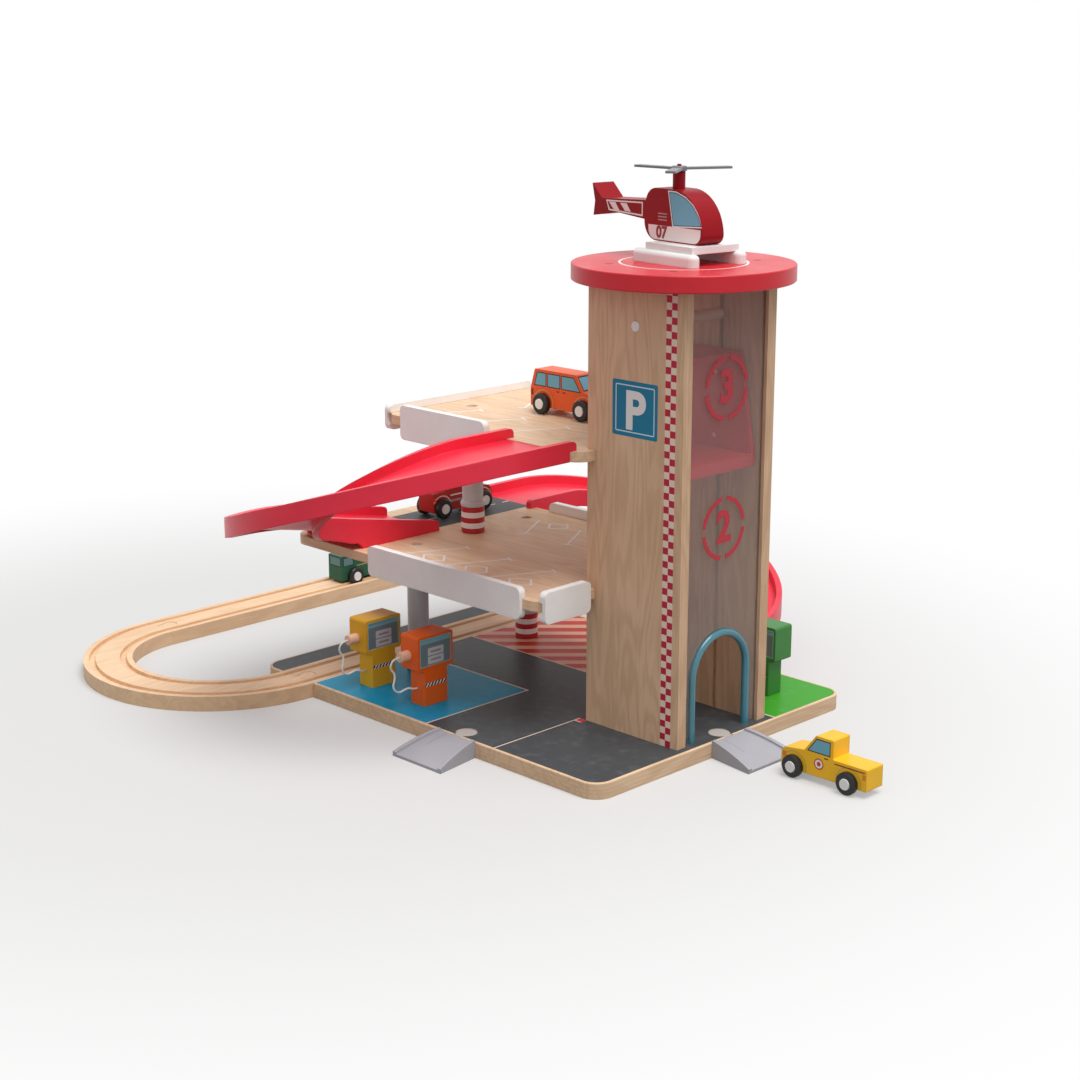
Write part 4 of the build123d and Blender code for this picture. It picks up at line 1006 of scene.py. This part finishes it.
@dataclass
class TrackLoop:
    """The bare beech track that closes the loop behind the garage, and its two entry ramps."""

    def build(self) -> None:
        """Dress the sections and the ramps that hook into the board, with painted shade along the
        ramps' creases.
        """
        for name, shift in (("track_curve_left", 0.0), ("track_curve_right", 140.0),
                            ("track_straight_far", 260.0)):
            wood = Timber((0.90, 0.635, 0.405), (0.66, 0.410, 0.235), Axis.X, None, 0.28, shift)
            cover([name], name, wood)
        grey = Moulded((0.43, 0.427, 0.465), 0.44, 0.03)
        # the darker grey strokes are painted shade for the creases down each moulded slope
        head, crease_shade = (0.52, 0.49, 0.465), (0.30, 0.30, 0.335)
        for name, face in (
            ("entry_ramp_left", Face((0.0, 141.9, 0.0), FRONT, RIGHT, UP)),
            ("entry_ramp_front", Face((141.7, 0.0, 0.0), RIGHT, BACK, UP)),
        ):
            marks = [
                Bar(head, (-20.0, 0.2), (20.0, 24.0)),
                Stroke(crease_shade, (-16.3, -2.0), (-21.4, -37.0), 0.5),
                Stroke(crease_shade, (16.3, -2.0), (21.4, -37.0), 0.5),
                Stroke(crease_shade, (-9.0, -1.0), (-9.6, -22.0), 0.7),
            ]
            cover([name], name, grey, ((face, marks),), soften=0.7)


# ---------------------------------------------------------------- tower
@dataclass
class Tower:
    """Side panels, smoky window with its numerals, bead round the doorway, and the landing roof."""

    left: float = 91.2
    middle: float = 140.9
    window_face: float = 10.0
    floor_numbers: tuple[tuple[str, float], ...] = (("2", 167.8), ("3", 269.7))
    roof_centre: Pair = (140.9, 52.45)
    roof_top: float = 354.5
    pad_ring: Pair = (46.4, 44.7)
    ring: Pair = (20.0, 23.4)
    ring_print: float = 0.18
    arc: float = 76.0
    arc_start: float = 7.0
    sign_middle: Pair = (52.1, 252.6)
    letter_size: float = 37.5
    number_size: float = 32.0

    def panels(self) -> None:
        """Dress both panels; the left one carries the checker strip and the parking sign."""
        side = Face((self.left, 0.0, 0.0), FRONT, UP, LEFT)
        blue = (0.006, 0.190, 0.330)
        marks = [
            Bar(PEACH, (-23.8, 12.0), (-13.9, 342.5)),
            Checks((0.48, 0.016, 0.045), (-23.8, 12.0), (-13.9, 342.5), 4.95),
            Tablet(blue, (-73.6, 235.0), (-30.6, 275.0), 1.6),
            Tablet((0.60, 0.72, 0.76), (-70.7, 237.9), (-33.5, 272.1), 1.2, 0.9),
        ]
        birch = Timber((0.74, 0.500, 0.325), (0.50, 0.305, 0.180), Axis.Z, Axis.X, 0.36, 23.0)
        cover(["tower_panel_left"], "panel_left", birch, ((side, marks),))
        plain = Timber((0.74, 0.500, 0.325), (0.50, 0.305, 0.180), Axis.Z, Axis.X, 0.36, 87.0)
        cover(["tower_panel_right"], "panel_right", plain)

    def sign_letter(self) -> None:
        """Stick the parking letter on the blue sign."""
        ink = Ink("sign_letter")
        Paint((0.80, 0.80, 0.78)).spread(ink)
        turn = Matrix(((0, 0, -1), (-1, 0, 0), (0, 1, 0))).to_4x4()
        turn.translation = metres((self.left, *self.sign_middle))
        letter = lettered("P", self.letter_size, 1.3, 0.16, turn)
        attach(settle(letter, "parking_letter", ink.close(0.45, 0.0, 0.0)), "garage")

    def numeral_ring(self, height: float, material: bpy.types.Material, name: str) -> None:
        """Spin the four arcs that ring a floor number.

        Args:
            height: The ring's centre above the floor, in millimetres.
            material: The red print.
            name: The piece's name.
        """
        middle = metres((self.middle, self.window_face, height))
        nothing_selected()
        mesh = bpy.data.meshes.new(name)
        ring = placed(name, mesh)
        bpy.context.view_layer.objects.active = ring
        ring.select_set(True)
        bpy.ops.object.mode_set(mode="EDIT")
        for quarter in range(4):
            bpy.ops.mesh.select_all(action="DESELECT")
            start = math.radians(90.0 * quarter + self.arc_start)
            shape = bmesh.from_edit_mesh(mesh)
            inner, outer, lift = (side / MM for side in (*self.ring, self.ring_print))
            corners = []
            for radius, out in ((inner, 0.0), (outer, 0.0), (outer, lift), (inner, lift)):
                spot = middle + Vector((radius * math.cos(start), -out, radius * math.sin(start)))
                corners.append(shape.verts.new(spot))
            shape.faces.new(corners).select = True
            bmesh.update_edit_mesh(mesh)
            bpy.ops.mesh.spin(steps=20, angle=math.radians(self.arc), center=middle, axis=BACK)
        bpy.ops.mesh.select_all(action="SELECT")
        bpy.ops.mesh.remove_doubles(threshold=0.00001)
        bpy.ops.mesh.normals_make_consistent(inside=False)
        bpy.ops.object.mode_set(mode="OBJECT")
        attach(settle(ring, name, material), "garage")

    def numerals(self) -> None:
        """Print the floor numbers on the window."""
        ink = Ink("window_print")
        Paint((0.50, 0.008, 0.026), DARK_RED).spread(ink)
        red = ink.close(0.45, 0.0, 0.0)
        for number, height in self.floor_numbers:
            turn = Matrix(((1, 0, 0), (0, 0, -1), (0, 1, 0))).to_4x4()
            turn.translation = metres((self.middle, self.window_face, height))
            digit = lettered(number, self.number_size, 1.15, self.ring_print, turn)
            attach(settle(digit, f"floor_number_{number}", red), "garage")
            self.numeral_ring(height, red, f"floor_ring_{number}")

    def window(self) -> None:
        """Make the smoky clear sheet."""
        ink = Ink("smoky_sheet")
        ink.plain = (0.50, 0.47, 0.46)
        smear = ink.noise((18.0, 18.0, 40.0), 3.0)
        ink.shade(smear.ramp(0.4, 0.8) * 0.3, 0.85)
        ink.rough = smear * 0.06 + 0.05
        ink.raise_by(ink.fine(30.0, 1.0), 0.02)
        dress(["tower_window"], ink.close(0.25, 0.0, 0.0, clear=0.84))

    def trim(self) -> None:
        """Gloss the bead round the doorway."""
        ink = Ink("arch_bead")
        Moulded((0.045, 0.220, 0.290), 0.22, 0.004).spread(ink)
        dress(["arch_trim"], ink.close(0.5, 0.35, 0.0))

    def roof(self) -> None:
        """Paint the landing roof with its ring."""
        top = Face.top(self.roof_top)
        marks = [Ring(PALE, self.roof_centre, *self.pad_ring)]
        red = Paint(RED, RUBBED_RED, 0.30, Axis.X)
        cover(["roof_disc"], "roof_painted", red, ((top, marks),))
        plug = Paint((0.26, 0.010, 0.016), (0.4, 0.1, 0.1), 0.34)
        cover(["roof_dowels"], "roof_plugs", plug)

    def build(self) -> None:
        """Dress the tower."""
        self.panels()
        self.window()
        self.trim()
        self.roof()
        self.sign_letter()
        self.numerals()


# ---------------------------------------------------------------- decks, posts, rails
@dataclass
class Decks:
    """Both parking decks with their printed bays, the ringed posts and the white rails."""

    lower_top: float = 116.0
    upper_top: float = 220.0
    bay_pitch: float = 48.0
    line: float = 1.8
    feet: dict[str, float] = field(default_factory=lambda: {
        "post_foot_left": 12.0, "post_foot_right": 12.0, "post_foot_upper": 116.0,
    })

    def bays(self, start: Pair, end: Pair, count: int) -> list[Mark]:
        """Draw slanting bay lines with short bars on their ends.

        Args:
            start: Outer end of the first line.
            end: Inner end of the first line.
            count: How many lines, one pitch apart towards the front.

        Returns:
            The strokes.
        """
        marks: list[Mark] = []
        for index in range(count):
            drop = index * self.bay_pitch
            low, high = (start[0], start[1] - drop), (end[0], end[1] - drop)
            marks.append(Stroke(PALE, low, high, self.line))
            run = (Vector(high) - Vector(low)).normalized()
            across = Vector((-run.y, run.x)) * 5.0
            tip = Vector(high)
            marks.append(Stroke(PALE, tuple(tip - across), tuple(tip + across), self.line))
        return marks

    def badge(self, corners: tuple[Pair, ...], count: int) -> list[Mark]:
        """Draw the plain slanting boxes between the bay lines.

        Args:
            corners: The first box's corners.
            count: How many boxes, one pitch apart.

        Returns:
            The boxes' outlines.
        """
        marks: list[Mark] = []
        for index in range(count):
            moved = tuple((x, y - index * self.bay_pitch) for x, y in corners)
            for here, after in zip(moved, moved[1:] + moved[:1]):
                marks.append(Stroke(PALE, here, after, self.line))
        return marks

    def lower(self) -> None:
        """Print the lower deck: bays on both sides and a road along the back."""
        top = Face.top(self.lower_top)
        marks: list[Mark] = [Bar(ROAD, (52.0, 305.0), (236.5, 359.0))]
        for index in range(11):
            marks.append(Bar(PALE, (58.6 + 17.0 * index, 330.4), (67.6 + 17.0 * index, 331.6)))
        marks += self.bays((59.0, 264.0), (105.0, 241.5), 3)
        marks += self.bays((207.5, 264.0), (167.2, 240.4), 3)
        marks += self.badge(((67.0, 250.4), (76.4, 237.2), (65.0, 225.8), (55.0, 238.4)), 3)
        marks += self.badge(((204.5, 249.0), (214.0, 237.5), (203.0, 227.4), (193.6, 239.0)), 3)
        wood = Timber(grain=Axis.Y, figure=0.40, shift=53.0)
        cover(["deck_lower"], "deck_lower_printed", wood, ((top, marks),))

    def upper(self) -> None:
        """Print the upper deck's bays."""
        top = Face.top(self.upper_top)
        marks = self.bays((207.5, 264.0), (167.2, 240.4), 3)
        marks += self.bays((97.0, 276.5), (136.0, 257.5), 3)
        marks += self.badge(((204.5, 249.0), (214.0, 237.5), (203.0, 227.4), (193.6, 239.0)), 3)
        wood = Timber(grain=Axis.Y, figure=0.40, shift=151.0)
        cover(["deck_upper"], "deck_upper_printed", wood, ((top, marks),))

    def posts(self) -> None:
        """Paint red and white rings on the feet and grey on the columns."""
        for name, floor in self.feet.items():
            ink = Ink(f"{name}_rings")
            Paint((0.50, 0.016, 0.026), RUBBED_RED).spread(ink)
            for low in (4.4, 13.2):
                ink.blend(ink.z.between(floor + low, floor + low + 4.4), PALE)
            dress([name], ink.close(0.45, 0.0, 0.4))
        grey = Moulded((0.58, 0.60, 0.62), 0.38, 0.012)
        names = ["post_column_left", "post_column_right", "post_column_upper"]
        cover(names, "column_grey", grey)

    def rails(self) -> None:
        """Give the rails their white paint."""
        white = Paint((0.95, 0.93, 0.92), RUBBED_WHITE, 0.34, Axis.X)
        names = [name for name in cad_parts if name.startswith("rail_") and "engine" not in name]
        cover(names, "rail_painted", white, soften=0.9)

    def build(self) -> None:
        """Dress decks, posts and rails."""
        self.lower()
        self.upper()
        self.posts()
        self.rails()


@dataclass
class Ramps:
    """The two curved ramps, red moulded plastic."""

    colour: Colour = (0.86, 0.028, 0.062)

    def build(self) -> None:
        """Dress both ramps."""
        cover(["ramp_upper", "ramp_lower"], "ramp_moulded", Moulded(self.colour, 0.36, 0.012),
              gloss=0.35, soften=1.2)


# ---------------------------------------------------------------- pumps
@dataclass
class Pumps:
    """Three wooden fuel pumps, each with a printed screen."""

    half: float = 15.9
    screen: Pair = (31.4, 53.8)

    def marks(self) -> list[Mark]:
        """List a pump's print: screen, price rows and the slanting tick strip."""
        low, high = self.screen
        glass, teal, row = (0.17, 0.235, 0.255), (0.22, 0.47, 0.52), (0.58, 0.58, 0.60)
        return [
            Tablet(teal, (-self.half, low), (self.half, high), 1.0),
            Tablet(glass, (-self.half + 0.8, low + 0.8), (self.half - 0.8, high - 4.4), 0.6),
            Tablet(row, (-7.5, 32.8), (8.5, 45.7), 0.8),
            Bar(glass, (-7.5, 38.9), (8.5, 39.6)),
            Bar((0.32, 0.28, 0.28), (-4.6, 41.6), (5.6, 43.2)),
            Bar((0.32, 0.28, 0.28), (-4.6, 35.2), (5.6, 36.8)),
            Bar(PALE, (-11.0, 15.4), (10.0, 18.2)),
            Stripes(INK_BLACK, (-11.0, 15.4), (10.0, 18.2), 2.7, 0.55, math.radians(-35.0)),
        ]

    def build(self) -> None:
        """Dress the pumps and their nozzles."""
        places = {
            "yellow": (Face((37.0, 266.0, 12.0), RIGHT, UP, FRONT),
                       (0.80, 0.430, 0.020)),
            "orange": (Face((37.0, 205.0, 12.0), RIGHT, UP, FRONT),
                       (0.86, 0.130, 0.012)),
            "green": (Face((229.5, 47.0, 12.0), FRONT, UP, LEFT),
                      (0.050, 0.230, 0.045)),
        }
        for colour, (face, paint) in places.items():
            cover([f"pump_{colour}"], f"pump_{colour}_painted", Paint(paint), ((face, self.marks()),),
                  soften=0.8)
        peg = Timber((0.86, 0.56, 0.40), (0.66, 0.38, 0.24), Axis.X, None, 0.2, 9.0)
        cover(["nozzle_yellow", "nozzle_orange"], "nozzle_wood", peg, soften=0.4)


# ---------------------------------------------------------------- lift
@dataclass
class Lift:
    """Red lift car on its guide pegs, the winding roller and the crank outside the right panel."""

    panel_left: float = 91.2
    panel_right: float = 190.6

    def build(self) -> None:
        """Dress the lift and its crank."""
        cover(["lift_car"], "lift_car_red", Moulded((0.66, 0.020, 0.040), 0.34), soften=1.0)
        peg = Timber((0.78, 0.56, 0.37), (0.60, 0.39, 0.24), Axis.X, None, 0.2, 3.0)
        cover(["lift_guide_pegs"], "guide_peg_wood", peg, soften=0.3)
        ink = Ink("roller_wood")
        Timber((0.80, 0.62, 0.45), (0.66, 0.46, 0.30), Axis.X, None, 0.2, 17.0).spread(ink)
        ink.blend(ink.x.below(self.panel_left), PALE)
        ink.blend(ink.x.above(self.panel_right), PALE)
        dress(["winding_roller"], ink.close(0.45, 0.0, 0.4))
        white = Paint((0.80, 0.79, 0.785), RUBBED_WHITE, 0.34, Axis.Y)
        cover(["crank_arm"], "crank_painted", white, soften=0.8)
        cover(["crank_knob"], "knob_painted", Paint(RED, RUBBED_RED, 0.28), soften=0.8)


# ---------------------------------------------------------------- helicopter
@dataclass
class Helicopter:
    """The dark red helicopter with its printed cabin, white skids and grey rotor."""

    spot: Triple = (145.0, 56.0, 354.5)
    heading: float = -97.7
    number_at: Triple = (13.0, 10.0, 19.6)
    number_size: float = 11.4
    red: Colour = (0.300, 0.006, 0.012)
    window: tuple[Pair, ...] = (
        (-5.6, 48.7), (2.0, 48.6), (12.0, 45.6), (20.0, 40.6), (26.0, 34.0), (29.5, 26.9), (-0.6, 25.2),
    )

    def marks(self) -> list[Mark]:
        """List what both sides of the cabin and boom carry."""
        marks: list[Mark] = [
            Tablet(PINKISH, (-27.4, 14.5), (28.4, 44.0), 7.0),
            Bar(self.red, (-40.0, 24.6), (40.0, 60.0)),
            Patch(PALE, self.window, 0.9),
            Patch((0.05, 0.10, 0.13), self.window, 0.0),
            Patch((0.20, 0.46, 0.60), self.window, -0.6),
        ]
        for height in (28.6, 30.8, 33.0):
            marks.append(Stroke((0.46, 0.30, 0.30), (-17.0, height), (-7.4, height), 0.8))
        marks.append(Patch(PALE, ((-75.6, 38.4), (-34.0, 39.6), (-34.0, 29.4), (-72.6, 31.0)), 0.0))
        marks.append(Patch(self.red, ((-74.2, 37.4), (-35.1, 38.6), (-35.1, 30.6), (-71.4, 32.0)), 0.0))
        for start in (-72.4, -59.6):
            marks.append(Patch(PINKISH, ((start, 37.2), (start + 7.4, 37.4),
                                                   (start + 12.2, 31.6), (start + 5.6, 31.9)), 0.0))
        return marks

    def number(self, side: int, material: bpy.types.Material) -> None:
        """Stick the plain number on one side of the pale band.

        Args:
            side: 1 for the side on the pilot's left, -1 for the other.
            material: The dark red print.
        """
        ahead, left = (Vector(way) for way in headed(self.heading))
        out = left * side
        place = Matrix((Vector(UP).cross(out), UP, out)).transposed().to_4x4()
        back, half_width, height = self.number_at
        spot = Vector(self.spot) - ahead * back + out * half_width + Vector(UP) * height
        place.translation = metres(spot)
        digits = lettered("07", self.number_size, 0.50, 0.14, place)
        name = "helicopter_number_left" if side > 0 else "helicopter_number_right"
        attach(settle(digits, name, material), "helicopter")

    def build(self) -> None:
        """Dress the helicopter."""
        ahead, left = headed(self.heading)
        side = Face(self.spot, ahead, UP, left, True)
        paint = Paint(self.red, (0.40, 0.16, 0.12), 0.32, Axis.Y)
        cover(["helicopter_body"], "helicopter_painted", paint, ((side, self.marks()),), 0.12, 0.8)
        cover(["helicopter_mast"], "mast_painted", paint, (), 0.12, 0.6)
        white = Paint((0.82, 0.81, 0.80), RUBBED_WHITE, 0.34, Axis.Y)
        cover(["helicopter_skids"], "skids_painted", white, soften=0.8)
        grey = Moulded((0.20, 0.205, 0.22), 0.36, 0.010)
        cover(["helicopter_rotor"], "rotor_moulded", grey, soften=0.3)
        ink = Ink("number_print")
        Paint(self.red, self.red).spread(ink)
        print_red = ink.close(0.45, 0.0, 0.0)
        self.number(1, print_red)
        self.number(-1, print_red)


# ---------------------------------------------------------------- vehicles
@dataclass
class Vehicle:
    """A block-cut wooden vehicle: painted body with printed windows, black wheels with white hubs."""

    name: str
    tail: Triple
    heading: float
    paint: Colour
    windows: tuple[tuple[Pair, ...], ...]
    wheels: Pair
    fore_screen: Pair = (0.0, 0.0)
    rear_screen: Pair = (0.0, 0.0)
    extras: tuple[Mark, ...] = ()
    glass: Colour = SKY
    arch: Colour | None = None
    axle_height: float = 8.55
    arch_ring: Pair = (11.0, 10.1)
    hub: float = 4.2

    def marks(self) -> list[Mark]:
        """List what both sides carry."""
        marks: list[Mark] = []
        if self.arch is not None:
            for x in self.wheels:
                marks.append(Ring(self.arch, (x, self.axle_height), *self.arch_ring))
        for window in self.windows:
            marks.append(Patch(INK_BLACK, window, 0.8))
            marks.append(Patch(self.glass, window, 0.0))
        return marks + list(self.extras)

    def body(self) -> None:
        """Dress the body, its sides first and then its screens."""
        ink = Ink(f"{self.name}_painted")
        Paint(self.paint, grain=Axis.Y if self.heading else Axis.X).spread(ink)
        ahead, left = headed(self.heading)
        u, v, seen = Face(self.tail, ahead, UP, left, True).read(ink)
        for mark in self.marks():
            ink.blend(mark.mask(u, v) * seen, mark.colour)
        across = ink.along(left, self.tail)
        forward = ink.looking(ahead)
        for towards, (low, high) in ((forward, self.fore_screen), (forward * -1.0, self.rear_screen)):
            if high > low:
                looks = towards.above(0.35)
                dark = looks * v.between(low - 0.9, high + 0.9) * across.near(0.0, 8.0)
                pane = looks * v.between(low, high) * across.near(0.0, 7.1)
                ink.blend(dark, INK_BLACK)
                ink.blend(pane, self.glass)
        lamps = forward.above(0.75) * v.between(13.0, 16.4)
        ink.blend(lamps * across.size().between(5.0, 8.6), PALE)
        dress([f"{self.name}_body"], ink.close(0.28, 0.0, 1.0))

    def wheel_set(self, end: str) -> None:
        """Dress one pair of wheels: black tyre, white hub.

        Args:
            end: Front or rear.
        """
        node = f"{self.name}_{end}_wheels"
        low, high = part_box(node)
        middle = (low + high) * MM / 2 + CORNER
        ink = Ink(f"{node}_paint")
        Moulded((0.018, 0.018, 0.019), 0.30, 0.010).spread(ink)
        ahead, left = headed(self.heading)
        away = ink.along(ahead, middle).hypot(ink.z - middle.z)
        outer = ink.looking(left).size().above(0.5)
        ink.shade(outer * away.between(5.5, 5.8) * 0.5, 2.0)
        ink.blend(away.below(self.hub), (0.86, 0.85, 0.84))
        ink.shade(outer * away.between(1.4, 1.7) * 0.5, 0.75)
        dress([node], ink.close(0.35, 0.0, 0.4))

    def build(self) -> None:
        """Dress the vehicle."""
        self.body()
        self.wheel_set("front")
        self.wheel_set("rear")


def fleet() -> list[Vehicle]:
    """List the four vehicles.

    Returns:
        The pickup, the estate car, the fire car and the rail engine.
    """
    return [
        Vehicle("pickup", (145.0, -127.0, 0.0), 90.0, (0.96, 0.540, 0.020),
                (((32.0, 23.6), (32.0, 32.8), (43.2, 32.8), (50.0, 23.6)),), (15.0, 62.5),
                (23.6, 33.4),
                extras=(Stroke(MAROON, (1.5, 19.0), (27.5, 19.0), 0.9),
                 Stroke(MAROON, (33.0, 20.6), (36.6, 20.6), 1.0),
                 Ring(BADGE_RED, (41.0, 15.2), 4.2), Ring(PALE, (41.0, 15.2), 3.2),
                 Ring(BADGE_RED, (41.0, 15.2), 1.7),
                 Bar(ORANGE_LAMP, (69.5, 13.4), (73.2, 17.4)),
                 Bar(ORANGE_LAMP, (0.8, 13.6), (3.4, 17.6))),
                arch=(0.62, 0.42, 0.10)),
        Vehicle("suv", (169.5, 226.0, 220.0), -90.0, (0.86, 0.115, 0.020),
                (((4.8, 22.6), (7.6, 32.2), (16.4, 32.2), (16.4, 22.6)),
                 ((19.0, 22.6), (19.0, 32.2), (31.6, 32.2), (31.6, 22.6)),
                 ((34.2, 22.6), (34.2, 32.2), (46.6, 32.2), (53.4, 22.6))), (14.0, 57.5),
                (24.0, 33.0), (23.0, 32.8),
                (Stroke(MAROON, (28.4, 19.6), (31.6, 19.6), 1.0),
                 Stroke(MAROON, (35.0, 19.6), (38.2, 19.6), 1.0),
                 Bar(ORANGE_LAMP, (72.4, 13.0), (75.4, 16.6)), Bar(MAROON, (0.6, 14.0), (3.0, 19.0))),
                arch=(0.80, 0.30, 0.14)),
        Vehicle("fire_car", (145.0, 335.0, 116.0), 0.0, (0.46, 0.020, 0.018),
                (((17.6, 24.0), (19.6, 32.8), (28.4, 32.8), (28.4, 24.0)),
                 ((30.8, 24.0), (30.8, 32.8), (40.4, 32.8), (45.6, 24.0))), (9.0, 55.0),
                (24.0, 33.4), (24.4, 32.6),
                (Bar(PALE, (18.6, 17.6), (46.0, 18.8)), Bar(ORANGE_LAMP, (62.0, 13.0), (65.4, 16.4)),
                 Bar((0.32, 0.33, 0.35), (19.0, 12.4), (45.0, 14.4)),
                 Bar(ORANGE_LAMP, (0.6, 14.0), (2.6, 18.0))),
                glass=(0.26, 0.33, 0.36), arch=(0.80, 0.74, 0.70)),
        Vehicle("rail_engine", (196.0, 521.5, 9.0), 0.0, (0.020, 0.110, 0.055),
                (((2.6, 19.6), (2.6, 26.6), (10.4, 26.6), (13.4, 23.2), (13.4, 19.6)),), (15.0, 48.0),
                (23.4, 27.6), (19.6, 27.0),
                (Stroke((0.50, 0.40, 0.10), (18.0, 17.6), (58.0, 17.6), 0.9),
                 Bar(PALE, (58.4, 12.6), (60.6, 15.2))), glass=(0.13, 0.24, 0.24)),
    ]


def main() -> None:
    """Build the garage's looks in order."""
    logging.basicConfig(level=logging.INFO, format="%(name)s: %(message)s")
    Studio().build()
    Hoses().build()
    LiftCord().build()
    BaseBoard().build()
    TrackLoop().build()
    Tower().build()
    Decks().build()
    Ramps().build()
    Pumps().build()
    Lift().build()
    Helicopter().build()
    for vehicle in fleet():
        vehicle.build()


if __name__ == "__main__":
    main()
